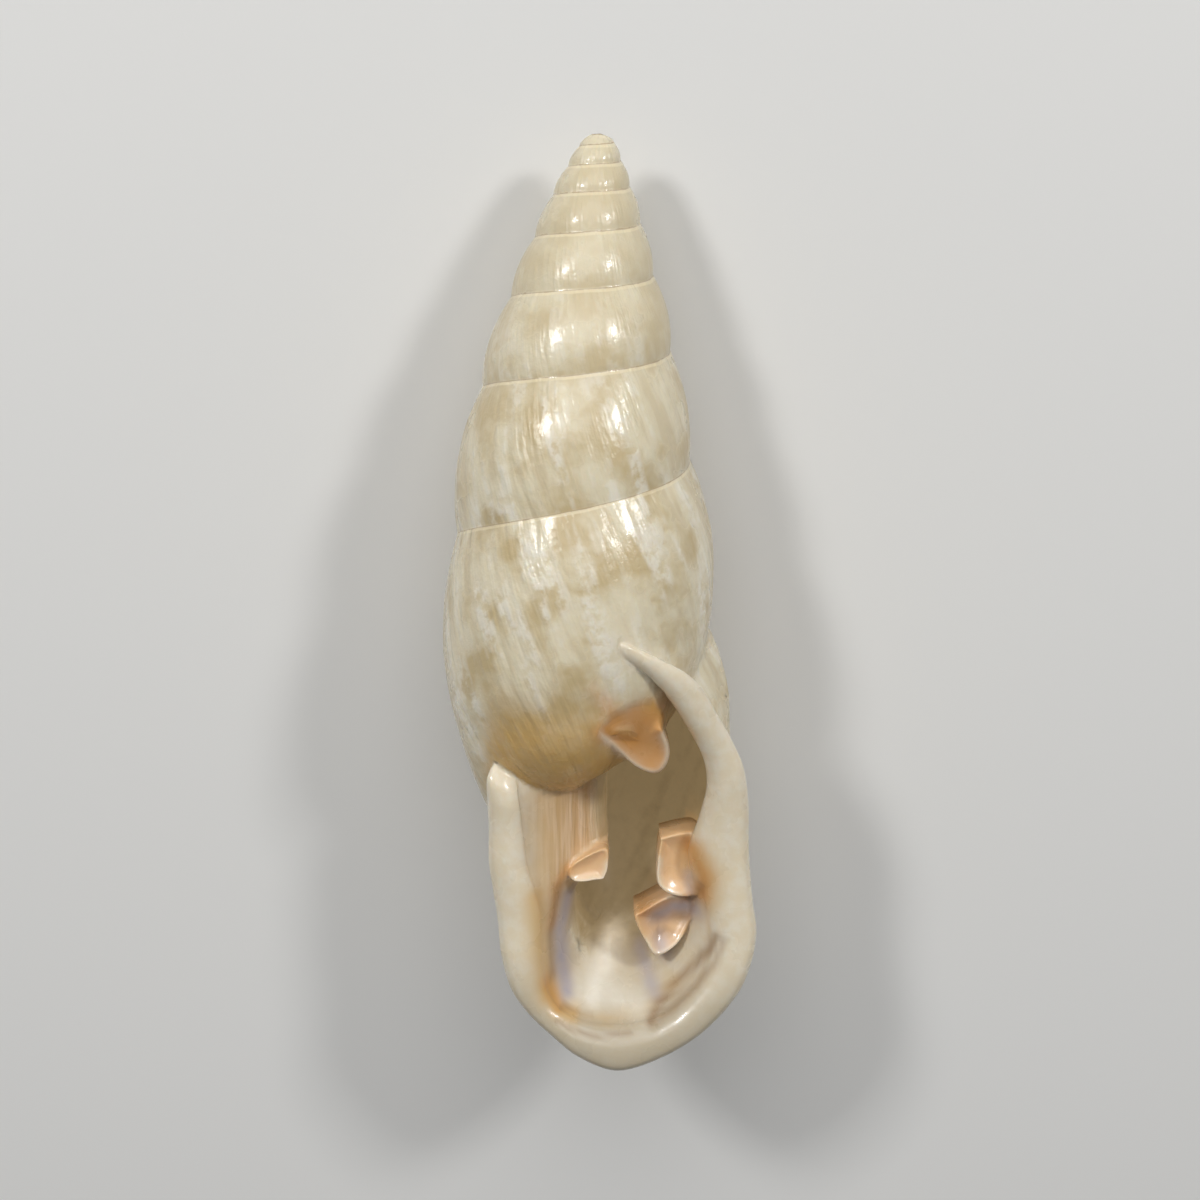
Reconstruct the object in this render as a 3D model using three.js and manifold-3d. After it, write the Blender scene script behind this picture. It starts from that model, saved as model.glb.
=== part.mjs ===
// A tall right-handed land snail shell lying on its back, with the mouth up.
// It is modelled as it grew: X to the right of the mouth, drop along the axis from the tip, and Z out
// through the mouth. A whorl count t says where on the spiral a point is: whole numbers are on the
// right, a quarter later is the mouth side, a half is the left and three quarters the back.
import * as THREE from 'three';
import { mergeVertices } from 'three/addons/utils/BufferGeometryUtils.js';
import Module from 'manifold-3d';

const wasm = await Module();
wasm.setup();

// driving dimensions, mm
const STEPS_PER_TURN = 22; // facets round the shell
const LAST_TURN = 5; // from here on a whorl shows down to the base
const WHORL_END = 6; // the last whorl's wall hands over to the neck of the mouth
const PARIETAL_END = 5.3; // the whorl before the mouth shows as the mouth's inner wall up to here
const WALL = 0.75; // thickness of the last whorl's wall
const INNER_WALL = 0.65; // thickness of the wall higher up
const BACK_WALL = 0.35; // how much thicker the walls are along the back
const BASE_RISE = 2.8; // how fast the base wall thickens over the last quarter, per turn
const COLUMELLA = 1.3; // radius of the pillar inside
const PILLAR_END = 40; // the pillar stops at this drop, inside the mouth
const PILLAR_HOLLOW = [[0, 39.3], [0.8, 39.7], [1.05, 40.8], [1.05, 42.3], [0.7, 43.3], [0, 43.9]];
const PILLAR_SHIFT = [0.35, 0, -0.1]; // how far that hollow stands off the axis
const LEAN = 1.15; // how far the tip stands off the axis of the last whorls
const LEAN_LENGTH = 16; // the spire is straight below this drop
const LIE = 5.6; // degrees the tip dips, so that the two widest whorls both touch the ground
const FLAT_DEPTH = 0.5; // worn off the back of those whorls as small flat spots

// the seam between whorls: whorl count, radius, drop
const SEAM = [
  [-2, 0, 0], [-1.5, 0.42, 0.08], [-1, 0.75, 0.34], [-0.5, 1.0, 0.76], [0, 1.2, 1.27], [0.5, 1.5, 1.86],
  [1, 1.8, 2.57], [1.5, 2.15, 3.41], [2, 2.52, 4.42], [2.5, 2.93, 5.66], [3, 3.42, 7.1], [3.5, 3.95, 8.85],
  [4, 4.62, 11.03], [4.5, 5.2, 13.6], [5, 5.93, 17.15], [5.5, 6.5, 21.25], [6, 7.0, 26.5], [6.5, 7.3, 32.5],
  [7, 7.4, 39],
];
// the widest line of a whorl: whorl count, share of the way to the next seam, how far it stands out
const BELLY = [
  [-2, 1, 0], [2, 1, 0], [3, 0.92, 0.02], [4, 0.85, 0.06], [4.5, 0.75, 0.15], [5, 0.62, 0.3],
];
// the last whorl: whorl count, belly radius, belly drop, base drop, fullness below the belly
const BODY = [
  [4.2, 6.0, 16.2, 24.4, 2.6], [4.5, 6.6, 18.6, 27, 2.6], [5, 7.27, 23, 33.1, 2.5], [5.25, 7.32, 25, 35.1, 2.6],
  [5.4, 7.33, 26.4, 36.2, 2.4], [5.5, 7.36, 27.2, 40.8, 1.5], [5.75, 7.8, 29.3, 45, 2.0], [6, 8.34, 31.5, 46.4, 2.7],
];
// the mouth, clockwise from its top: where the neck leaves the whorl as whorl count and drop, then the
// outer edge, inner edge, throat and the end of the wall inside, each as X, drop, Z
const MOUTH = [
  [[5.98, 25.9], [1.4, 26.1, 6.2], [1.5, 27.0, 6.0], [1.8, 27.4, 5.2], [5.6, 27.0, -0.8]],
  [[5.98, 26.1], [2.3, 25.95, 7.0], [2.35, 26.9, 6.65], [2.7, 27.4, 5.6], [5.9, 27.3, -0.8]],
  [[5.98, 26.5], [3.3, 26.35, 6.75], [3.25, 27.45, 6.35], [3.8, 27.9, 5.2], [6.3, 27.7, -0.8]],
  [[5.98, 27.1], [4.5, 27.05, 6.3], [4.1, 28.35, 5.85], [4.9, 28.8, 4.4], [7.16, 28.3, -0.96]],
  [[5.98, 27.9], [5.6, 27.75, 5.75], [4.9, 29.45, 5.3], [5.8, 29.9, 3.4], [7.39, 29.2, -1.06]],
  [[5.98, 28.8], [6.5, 28.7, 5.1], [5.65, 30.7, 4.7], [6.6, 31.1, 2.6], [7.56, 30.2, -1.04]],
  [[5.98, 29.9], [7.3, 30.1, 4.6], [6.3, 31.9, 4.2], [7.2, 32.3, 2.0], [7.61, 31.4, -1.13]],
  [[5.98, 31.2], [8.1, 31.6, 4.15], [6.75, 33.1, 3.7], [7.5, 33.5, 1.4], [7.58, 32.6, -1.21]],
  [[5.98, 32.8], [8.8, 33.3, 3.8], [6.85, 34.4, 3.3], [7.5, 34.9, 1.0], [7.54, 34.0, -1.21]],
  [[5.98, 34.6], [9.1, 35.4, 3.45], [6.5, 36.0, 2.9], [7.1, 36.4, 0.7], [7.43, 35.4, -1.31]],
  [[5.98, 36.6], [9.15, 38.2, 3.2], [5.9, 38.2, 2.5], [6.4, 38.6, 0.4], [7.2, 37.2, -1.4]],
  [[5.98, 38.6], [9.35, 40.6, 3.1], [6.5, 40.3, 2.5], [5.6, 40.6, 0.2], [6.73, 39.1, -1.51]],
  [[5.98, 40.5], [9.6, 42.6, 3.1], [6.9, 42.2, 2.6], [5.5, 42.0, 0], [6.16, 40.6, -1.64]],
  [[5.98, 42.2], [9.2, 44.6, 3.2], [6.8, 44.0, 2.7], [5.0, 43.3, -0.2], [5.45, 41.8, -1.89]],
  [[5.98, 43.6], [8.4, 46.2, 3.3], [6.1, 45.4, 2.8], [4.1, 44.3, -0.4], [4.57, 42.8, -2.18]],
  [[5.98, 45.1], [6.65, 48.05, 3.5], [4.8, 46.6, 2.8], [3.1, 44.5, -0.5], [3.98, 43.2, -2.41]],
  [[5.98, 45.8], [4.5, 49.35, 3.6], [3.3, 47.3, 2.8], [2.2, 44.3, -0.6], [3.44, 43.3, -2.75]],
  [[5.97, 46.1], [2.2, 50.1, 3.6], [1.8, 47.4, 2.8], [1.5, 44.0, -0.6], [2.94, 43.2, -3.1]],
  [[5.92, 45.8], [0.05, 49.4, 3.5], [0.3, 47.2, 2.8], [0.8, 44.1, -0.5], [1.93, 42.9, -3.54]],
  [[5.83, 45.1], [-1.5, 48.15, 3.4], [-0.9, 46.6, 2.8], [0.1, 44.1, -0.4], [0.76, 42.4, -3.33]],
  [[5.73, 43.4], [-2.8, 46.9, 3.3], [-1.5, 45.8, 2.8], [-0.4, 43.3, -0.3], [0.0, 41.6, -2.95]],
  [[5.64, 42.0], [-3.7, 45.5, 3.2], [-1.75, 44.7, 2.8], [-0.5, 42.5, -0.2], [0.0, 40.8, -2.52]],
  [[5.57, 40.8], [-4.2, 43.6, 3.1], [-1.8, 43.1, 2.8], [-0.5, 41.6, -0.2], [0.2, 39.8, -1.9]],
  [[5.52, 39.8], [-4.35, 41.8, 3.0], [-1.8, 41.5, 2.8], [-0.3, 40.7, -0.3], [0.6, 38.9, -1.8]],
  [[5.49, 38.8], [-4.6, 40.2, 3.0], [-2.1, 40.1, 2.9], [0.6, 39.7, -0.4], [1.1, 38.0, -1.8]],
  [[5.47, 37.8], [-4.8, 38.6, 3.1], [-2.5, 38.7, 3.0], [1.5, 38.7, -0.6], [1.35, 37.2, -1.8]],
  [[5.45, 36.8], [-4.8, 36.8, 3.2], [-2.7, 37.1, 3.1], [1.5, 37.2, -0.7], [1.35, 36.2, -1.8]],
  [[5.43, 35.8], [-4.85, 35.2, 3.4], [-2.85, 35.7, 3.3], [1.5, 35.6, -0.8], [1.35, 35, -1.8]],
  [[5.42, 34.8], [-4.85, 33.9, 3.7], [-3.0, 34.7, 3.4], [1.5, 34.3, -0.8], [1.35, 33.8, -1.8]],
  [[5.42, 33.9], [-4.5, 33.0, 3.5], [-3.1, 33.6, 3.2], [1.4, 33.0, -0.8], [1.3, 32.6, -1.8]],
];
const MOUTH_STEPS = 62; // facets round the mouth
const LIP_RISE = 0.95; // the crest of the lip over its edges
const LIP_ROLL = 1.1; // how far the lip's rolled edge reaches back

// projections in the mouth: outline as X and drop, root depth, tip depth, how much the tip narrows,
// how deep its face is dished and how the face slopes along X and drop
const TEETH = {
  parietal: {
    outline: [[1.0, 30.7], [1.6, 31.5], [2.25, 32.3], [2.95, 33.05], [3.6, 33.5], [4.2, 33.65],
      [4.65, 33.3], [4.87, 32.6], [4.8, 31.9], [4.6, 31.3], [4.4, 30.7], [4.2, 30.0],
      [3.6, 29.5], [2.3, 29.5]],
    root: 1.6, tip: 5.0, narrow: 0.84, dish: 0.45, slope: [-0.38, -0.5],
  },
  columellar: {
    outline: [[-0.6, 39.4], [0.1, 38.8], [1.5, 38.2], [1.62, 39.2], [1.45, 39.8], [1.2, 40.0],
      [-0.3, 40.1]],
    root: -1.5, tip: 1.7, narrow: 0.86, dish: 0.35, slope: [0, 0],
  },
  upperPalatal: {
    outline: [[4.4, 37.6], [4.55, 37.35], [6.4, 37.1], [7.2, 38.4], [7.0, 40.6], [5.4, 40.8],
      [4.3, 40.1], [4.25, 38.7]],
    root: -0.6, tip: 2.4, narrow: 0.88, dish: 0.45, slope: [-0.12, 0],
  },
  lowerPalatal: {
    outline: [[3.0, 41.9], [3.4, 41.5], [5.2, 40.7], [6.4, 41.4], [5.6, 43.4], [4.3, 44.2],
      [3.6, 43.3]],
    root: -1.2, tip: 2.1, narrow: 0.86, dish: 0.6, slope: [-0.3, 0],
  },
};

const lerp = (a, b, f) => a + (b - a) * f;

// smooth curve through table rows; the first number of each row is where it stands
function row(table, t) {
  let i = 0;
  while (i < table.length - 2 && t > table[i + 1][0]) i += 1;
  const a = table[i];
  const b = table[i + 1];
  const span = b[0] - a[0];
  const f = (t - a[0]) / span;
  return a.slice(1).map((value, k) => {
    const before = table[Math.max(i - 1, 0)];
    const after = table[Math.min(i + 2, table.length - 1)];
    const slopeA = (b[k + 1] - before[k + 1]) / (b[0] - before[0] || 1);
    const slopeB = (after[k + 1] - a[k + 1]) / (after[0] - a[0] || 1);
    const f2 = f * f;
    const f3 = f2 * f;
    return (2 * f3 - 3 * f2 + 1) * value + (f3 - 2 * f2 + f) * slopeA * span
      + (3 * f2 - 2 * f3) * b[k + 1] + (f3 - f2) * slopeB * span;
  });
}

// the spire leans, so each ring is shifted and turned a little
function place(x, drop, z) {
  const rest = Math.max(0, 1 - drop / LEAN_LENGTH);
  const shift = LEAN * rest ** 1.3;
  const slope = (LEAN * 1.3 / LEAN_LENGTH) * rest ** 0.3;
  return [shift + x, -(drop + x * slope), z];
}

function onRing(t, radius, drop) {
  const angle = 2 * Math.PI * t;
  return place(radius * Math.cos(angle), drop, radius * Math.sin(angle));
}

function belly(t) {
  const [radius, drop] = row(SEAM, t);
  const [nextRadius, nextDrop] = row(SEAM, t + 1);
  if (t >= LAST_TURN) return row(BODY, t);
  const [share, out] = row(BELLY, t);
  return [nextRadius + out, lerp(drop, nextDrop, share), 0, 0];
}

// where a whorl's base meets the axis, and how full it is on the way there
function baseOf(t) {
  if (t > BODY[0][0]) return row(BODY, t).slice(2);
  const top = row(SEAM, t)[1];
  return [top + 1.6 * (row(SEAM, t + 1)[1] - top), BODY[0][4]];
}

// radius of the whorl's outside at a drop, from its upper seam to its base
function outside(t, drop) {
  const [radius, top] = row(SEAM, t);
  const [wide, wideDrop] = belly(t);
  if (drop <= wideDrop) {
    const f = (drop - top) / (wideDrop - top);
    return radius + (wide - radius) * (1 - (1 - f) ** 2);
  }
  const [nextRadius, nextDrop] = row(SEAM, t + 1);
  if (t < LAST_TURN && drop <= nextDrop) {
    const f = (drop - wideDrop) / (nextDrop - wideDrop || 1);
    return wide - (wide - nextRadius) * f * f;
  }
  const [base, fullness] = baseOf(t);
  const start = t < LAST_TURN ? nextDrop : wideDrop;
  const full = t < LAST_TURN ? nextRadius : wide;
  const f = Math.min(1, (drop - start) / (base - start));
  return full * Math.sqrt(Math.max(0, 1 - f ** fullness));
}

function solidOf(points, triangles) {
  let volume = 0;
  const a = new THREE.Vector3();
  const b = new THREE.Vector3();
  const c = new THREE.Vector3();
  for (const [i, j, k] of triangles) {
    a.fromArray(points[i]);
    b.fromArray(points[j]);
    c.fromArray(points[k]);
    volume += a.dot(b.cross(c));
  }
  const faces = volume < 0 ? triangles.map(([i, j, k]) => [i, k, j]) : triangles;
  return new wasm.Manifold(new wasm.Mesh({
    numProp: 3,
    vertProperties: new Float32Array(points.flat()),
    triVerts: new Uint32Array(faces.flat()),
  }));
}

// the whorls from the tip to t = end as one sheet, closed by a flat face where it ends
const SEAM_ROWS = [0, 0.09, 0.22, 0.4, 0.62, 0.82];
const BASE_ROWS = [0.3, 0.55, 0.75, 0.9, 0.98, 1];

function whorls(end) {
  const points = [];
  const triangles = [];
  const first = -2 * STEPS_PER_TURN;
  const last = Math.round(end * STEPS_PER_TURN);
  const known = new Map();
  const add = (key, point) => {
    if (!known.has(key)) {
      known.set(key, points.length);
      points.push(point);
    }
    return known.get(key);
  };
  const column = (step) => {
    const t = step / STEPS_PER_TURN;
    const [, top] = row(SEAM, t);
    const [, nextDrop] = row(SEAM, t + 1);
    const open = step + STEPS_PER_TURN > last;
    const column = SEAM_ROWS.map((share, r) => {
      if (step === first && r === 0) return add('tip', onRing(0, 0, 0));
      const drop = lerp(top, nextDrop, share);
      return add(`${step}/${r}`, onRing(t, outside(t, drop), drop));
    });
    column.push(open
      ? add(`${step}/low`, onRing(t, outside(t, nextDrop), nextDrop))
      : add(`${step + STEPS_PER_TURN}/0`, onRing(t, ...row(SEAM, t + 1))));
    return column;
  };
  const base = (step) => {
    const t = step / STEPS_PER_TURN;
    const [baseDrop] = baseOf(t);
    const [, nextDrop] = row(SEAM, t + 1);
    return BASE_ROWS.map((share, r) => {
      const drop = lerp(nextDrop, baseDrop, share);
      return add(`${step}/base${r}`, onRing(t, r === BASE_ROWS.length - 1 ? 0 : outside(t, drop), drop));
    });
  };
  const strip = (left, right) => {
    for (let r = 0; r + 1 < left.length; r += 1) {
      triangles.push([left[r], right[r], right[r + 1]], [left[r], right[r + 1], left[r + 1]]);
    }
  };
  for (let step = first; step < last; step += 1) {
    const left = column(step);
    const right = column(step + 1);
    if (step >= last - STEPS_PER_TURN) {
      left.push(...base(step));
      right.push(...base(step + 1));
    }
    strip(left, right);
  }
  const start = column(first);
  for (let step = first + 1; step < first + STEPS_PER_TURN; step += 1) {
    const from = column(step)[0];
    if (step + 1 < first + STEPS_PER_TURN) triangles.push([start[0], column(step + 1)[0], from]);
    else for (let r = 0; r + 1 < start.length; r += 1) triangles.push([start[r], start[r + 1], from]);
  }
  const inner = [column(last - STEPS_PER_TURN).at(-1), ...base(last - STEPS_PER_TURN)];
  const outer = [...column(last), ...base(last)];
  const axis = [];
  for (let step = last - STEPS_PER_TURN + 1; step < last; step += 1) axis.push(base(step).at(-1));
  const loop = [...inner, ...axis, ...outer.slice(1).reverse()];
  const flat = loop.map((i) => new THREE.Vector2(Math.hypot(points[i][0], points[i][2]), points[i][1]));
  const turned = THREE.ShapeUtils.area(flat) < 0;
  for (const [i, j, k] of THREE.ShapeUtils.triangulateShape(flat, [])) {
    const same = (THREE.ShapeUtils.area([flat[i], flat[j], flat[k]]) < 0) === turned;
    triangles.push(same ? [loop[i], loop[j], loop[k]] : [loop[i], loop[k], loop[j]]);
  }
  return solidOf(points, triangles);
}

// a tube through the whorls from one whorl count to another
function hollow(from, to, wall, stepsPerTurn) {
  const points = [];
  const triangles = [];
  const count = Math.round((to - from) * stepsPerTurn);
  const size = 14;
  for (let n = 0; n <= count; n += 1) {
    const t = lerp(from, to, n / count);
    const [, top] = row(SEAM, t);
    const height = row(SEAM, t + 1)[1] - top;
    const [base] = baseOf(t);
    const [before] = baseOf(t - 1);
    const pillar = Math.min(COLUMELLA, 0.22 * row(SEAM, t)[0]);
    const low = base - wall * 1.3 - BASE_RISE * Math.max(0, t - BODY[BODY.length - 2][0]);
    const high = top + wall * 1.2 + 0.08 * height;
    const thick = wall + BACK_WALL * Math.max(0, -Math.sin(2 * Math.PI * t)) ** 8;
    const section = [];
    for (let k = 0; k < 8; k += 1) {
      const drop = lerp(high, low, [0, 0.12, 0.3, 0.5, 0.68, 0.82, 0.93, 1][k]);
      section.push([Math.max(pillar + 0.25, outside(t, drop) - thick), drop]);
    }
    const roof = before + wall;
    for (const share of [0, 0.35, 0.7]) {
      const drop = lerp(low, roof, share);
      section.push([drop > PILLAR_END ? 0.7 : pillar, drop]);
    }
    const edge = section[0][0];
    section.push([lerp(pillar, edge, 0.1), roof], [lerp(pillar, edge, 0.45), lerp(roof, high, 0.3)]);
    section.push([lerp(pillar, edge, 0.8), lerp(roof, high, 0.75)]);
    for (const [radius, drop] of section) points.push(onRing(t, radius, drop));
  }
  for (let n = 0; n < count; n += 1) {
    for (let k = 0; k < size; k += 1) {
      const a = n * size + k;
      const b = n * size + (k + 1) % size;
      triangles.push([a, b, b + size], [a, b + size, a + size]);
    }
  }
  for (let k = 1; k + 1 < size; k += 1) {
    triangles.push([0, k + 1, k]);
    triangles.push([count * size, count * size + k, count * size + k + 1]);
  }
  return solidOf(points, triangles);
}

// the neck and rolled lip: closed sections swept round the mouth
function lip() {
  const table = MOUTH.map((station, i) => [i, ...station.flat()]);
  const points = [];
  const triangles = [];
  let size = 0;
  for (let n = 0; n <= MOUTH_STEPS; n += 1) {
    const [t, drop, ...rest] = row(table, (n / MOUTH_STEPS) * (MOUTH.length - 1));
    const [outer, inner, throat, deep] = [0, 3, 6, 9].map((k) => new THREE.Vector3(...rest.slice(k, k + 3)));
    const angle = 2 * Math.PI * t;
    const radius = outside(t, drop) - 0.05;
    const neck = new THREE.Vector3(radius * Math.cos(angle), drop, radius * Math.sin(angle));
    const onward = new THREE.Vector3(-Math.sin(angle), 0.15, Math.cos(angle));
    const out = outer.clone().sub(inner).setZ(0).normalize();
    const width = outer.distanceTo(inner);
    const ends = Math.min(1, n / 5, (MOUTH_STEPS - n) / 4);
    const rise = LIP_RISE * Math.min(1, width / 2.4) * (0.3 + 0.7 * ends);
    const roll = Math.min(LIP_ROLL, width * 0.6);
    const back = outer.clone().addScaledVector(out, -0.4 * roll).add(new THREE.Vector3(0, 0, -roll));
    const reach = neck.distanceTo(back);
    const arrive = new THREE.Vector3(0, 0, 0.25).addScaledVector(out, 0.25);
    const curve = new THREE.CubicBezierCurve3(neck, neck.clone().addScaledVector(onward, reach * 0.4),
      back.clone().addScaledVector(arrive, -reach), back);
    const section = [0, 0.25, 0.5, 0.75, 1].map((f) => curve.getPoint(f));
    for (const f of [-0.12, 0.05, 0.25, 0.5, 0.75, 1]) {
      const turn = Math.PI * f;
      const across = (1 - Math.cos(turn)) / 2;
      section.push(outer.clone().lerp(inner, across).add(new THREE.Vector3(0, 0, rise * Math.sin(turn))));
    }
    section.push(inner.clone().lerp(throat, 0.5).add(new THREE.Vector3(0, 0, 0.25)), throat, deep);
    size = section.length;
    for (const p of section) points.push(place(p.x, p.y, p.z));
  }
  for (let n = 0; n < MOUTH_STEPS; n += 1) {
    for (let k = 0; k < size; k += 1) {
      const a = n * size + k;
      const b = n * size + (k + 1) % size;
      triangles.push([a, b, b + size], [a, b + size, a + size]);
    }
  }
  for (const start of [0, MOUTH_STEPS * size]) {
    for (let k = 1; k + 1 < size; k += 1) {
      const fan = [start, start + k, start + k + 1];
      triangles.push(start ? fan : fan.reverse());
    }
  }
  return solidOf(points, triangles);
}

function tooth({ outline, root, tip, narrow, dish, slope }) {
  const corners = outline.map(([x, drop]) => new THREE.Vector3(x, drop, 0));
  const curve = new THREE.CatmullRomCurve3(corners, true, 'centripetal');
  const loop = curve.getPoints(outline.length * 2).slice(0, -1);
  const centre = corners.reduce((sum, p) => sum.add(p), new THREE.Vector3()).divideScalar(corners.length);
  const levels = [[root, 1], [lerp(root, tip, 0.6), 1], [lerp(root, tip, 0.9), lerp(1, narrow, 0.4)], [tip, narrow]];
  const points = [];
  const triangles = [];
  for (const [z, scale] of levels) {
    for (const p of loop) {
      const at = centre.clone().lerp(p, scale);
      const tilt = (at.x - centre.x) * slope[0] + (at.y - centre.y) * slope[1];
      points.push(place(at.x, at.y, z + tilt * (z - root) / (tip - root)));
    }
  }
  const size = loop.length;
  for (let n = 0; n + 1 < levels.length; n += 1) {
    for (let k = 0; k < size; k += 1) {
      const a = n * size + k;
      const b = n * size + (k + 1) % size;
      triangles.push([a, b, b + size], [a, b + size, a + size]);
    }
  }
  const topCentre = points.push(place(centre.x, centre.y, tip - dish)) - 1;
  const rootCentre = points.push(place(centre.x, centre.y, root)) - 1;
  const top = (levels.length - 1) * size;
  for (let k = 0; k < size; k += 1) {
    triangles.push([top + k, top + (k + 1) % size, topCentre], [(k + 1) % size, k, rootCentre]);
  }
  return solidOf(points, triangles);
}

function solidFrom(geometry) {
  geometry.deleteAttribute('normal');
  geometry.deleteAttribute('uv');
  const merged = mergeVertices(geometry, 1e-4);
  const { array } = merged.getAttribute('position');
  const index = Array.from(merged.getIndex().array);
  const points = [];
  for (let i = 0; i < array.length; i += 3) points.push([array[i], array[i + 1], array[i + 2]]);
  const triangles = [];
  for (let i = 0; i < index.length; i += 3) {
    const face = index.slice(i, i + 3);
    if (new Set(face).size === 3) triangles.push(face);
  }
  return solidOf(points, triangles);
}

// the hollow under the end of the pillar
const pillarProfile = PILLAR_HOLLOW.map(([radius, drop]) => new THREE.Vector2(radius, -drop)).reverse();
const pillarHollow = solidFrom(new THREE.LatheGeometry(pillarProfile, 12).translate(...PILLAR_SHIFT));

let solid = whorls(WHORL_END)
  .subtract(hollow(PARIETAL_END - 0.15, WHORL_END + 0.06, WALL, 16))
  .subtract(pillarHollow)
  .add(whorls(PARIETAL_END))
  .add(lip());
for (const one of Object.values(TEETH)) solid = solid.add(tooth(one));
solid = solid.subtract(hollow(2.6, PARIETAL_END + 0.04, INNER_WALL, 14));
// pockets too small to matter stay filled
[solid] = solid.decompose().sort((a, b) => b.volume() - a.volume());

const material = new THREE.MeshStandardMaterial({ color: 0xcfc3a5, roughness: 0.22, metalness: 0 });

function geometryOf(manifold) {
  const { vertProperties, triVerts } = manifold.getMesh();
  const geometry = new THREE.BufferGeometry();
  geometry.setAttribute('position', new THREE.BufferAttribute(vertProperties, 3));
  geometry.setIndex(new THREE.BufferAttribute(triVerts, 1));
  return geometry;
}

// lay the shell down and wear the flat spots it rests on
const lie = THREE.MathUtils.degToRad(-LIE);
const laid = geometryOf(solid).rotateX(lie);
laid.computeBoundingBox();
const ground = new THREE.BoxGeometry(60, 140, 10);
ground.translate(0, 0, laid.boundingBox.min.z + FLAT_DEPTH - 5);
ground.rotateX(-lie);
solid = solid.subtract(solidFrom(ground)).simplify(0.01);

const geometry = geometryOf(solid).rotateX(lie);
geometry.computeBoundingBox();
const { min, max } = geometry.boundingBox;
geometry.translate(-(min.x + max.x) / 2, -(min.y + max.y) / 2, -min.z);

const shell = new THREE.Mesh(geometry, material);
shell.name = 'shell';
const group = new THREE.Group();
group.add(shell);

export default group;
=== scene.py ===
"""The fine surface and the looks of a tall land snail shell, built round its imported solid."""

import math

import bmesh
import bpy
import numpy as np
from mathutils import Matrix, Vector, noise
from mathutils.kdtree import KDTree


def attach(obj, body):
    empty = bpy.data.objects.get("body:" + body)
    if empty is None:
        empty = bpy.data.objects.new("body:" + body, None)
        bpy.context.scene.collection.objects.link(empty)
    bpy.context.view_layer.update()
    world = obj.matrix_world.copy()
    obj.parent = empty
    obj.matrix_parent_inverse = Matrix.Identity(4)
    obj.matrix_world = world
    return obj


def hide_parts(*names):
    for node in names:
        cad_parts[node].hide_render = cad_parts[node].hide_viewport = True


bl_info = {
    "name": "Land snail shell",
    "version": (1, 0, 0),
    "blender": (4, 5, 0),
    "location": "View3D > Sidebar > Shell",
    "description": "Builds a tall right-handed land snail shell and its studio",
    "category": "Object",
}

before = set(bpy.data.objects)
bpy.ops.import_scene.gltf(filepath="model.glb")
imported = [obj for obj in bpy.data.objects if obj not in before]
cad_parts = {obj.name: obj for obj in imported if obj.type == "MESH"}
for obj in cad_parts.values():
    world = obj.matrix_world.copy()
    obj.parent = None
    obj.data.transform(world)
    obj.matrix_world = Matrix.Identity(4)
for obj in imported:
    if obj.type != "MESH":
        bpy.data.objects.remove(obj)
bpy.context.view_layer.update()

MM = 0.001
TAU = 2 * math.pi

# The shell as it grew, in mm: X to the right of the mouth, drop from the tip, Z out of the mouth.
# A whorl count t gives the place on the spiral: whole numbers are on the right, a quarter later is
# the mouth side, a half is the left and three quarters the back.
FIRST_TURN = -2
LAST_TURN = 5.0
WHORL_END = 6.0
# the wall above the mouth goes on to this count, inside the last whorl
PARIETAL_END = 5.3
# wall of the last whorl, of the whorls inside, and how much thicker it is along the back
WALL = 0.75
INNER_WALL = 0.65
BACK_WALL = 0.35
# how fast the floor of the hollow rises at the end of the last whorl, in mm per whorl
BASE_RISE = 2.8
# the pillar round the axis, and the hollow under its end as radius and drop
COLUMELLA = 1.3
COLUMELLA_SHARE = 0.22
PILLAR_END = 40.0
PILLAR_HOLLOW = [(0, 39.3), (0.8, 39.7), (1.05, 40.8), (1.05, 42.3), (0.7, 43.3), (0, 43.9)]
PILLAR_SHIFT = (0.35, 0, -0.1)
# how far the tip leans to the right, over which length, and how evenly
LEAN = 1.15
LEAN_LENGTH = 16.0
LEAN_POWER = 1.3
# turn about the X axis that brings the flat spots on the back down
LIE = math.radians(5.6)
# the inner hollow starts at this whorl count; nearer to the tip the shell is solid
HOLLOW_START = 2.6
# fineness: steps per whorl and round the mouth, and parts between two given points
WHORL_STEPS = 150
LIP_STEPS = 300
LIP_PARTS = 4
TOOTH_PARTS = 6
HOLLOW_STEPS = 48
INNER_HOLLOW_STEPS = 30
# points closer than this are merged after the cuts
SLIVER = 0.05

# the seam between whorls: whorl count, radius, drop
SEAM = [
    (-2, 0, 0), (-1.5, 0.42, 0.08), (-1, 0.75, 0.34), (-0.5, 1.0, 0.76), (0, 1.2, 1.27),
    (0.5, 1.5, 1.86), (1, 1.8, 2.57), (1.5, 2.15, 3.41), (2, 2.52, 4.42), (2.5, 2.93, 5.66),
    (3, 3.42, 7.1), (3.5, 3.95, 8.85), (4, 4.62, 11.03), (4.5, 5.2, 13.6), (5, 5.93, 17.15),
    (5.5, 6.5, 21.25), (6, 7.0, 26.5), (6.5, 7.3, 32.5), (7, 7.4, 39),
]
# the widest line of a whorl: whorl count, share of the way to the next seam, how far it stands out
BELLY = [(-2, 1, 0), (2, 1, 0), (3, 0.92, 0.02), (4, 0.85, 0.06), (4.5, 0.75, 0.15), (5, 0.62, 0.3)]
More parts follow.
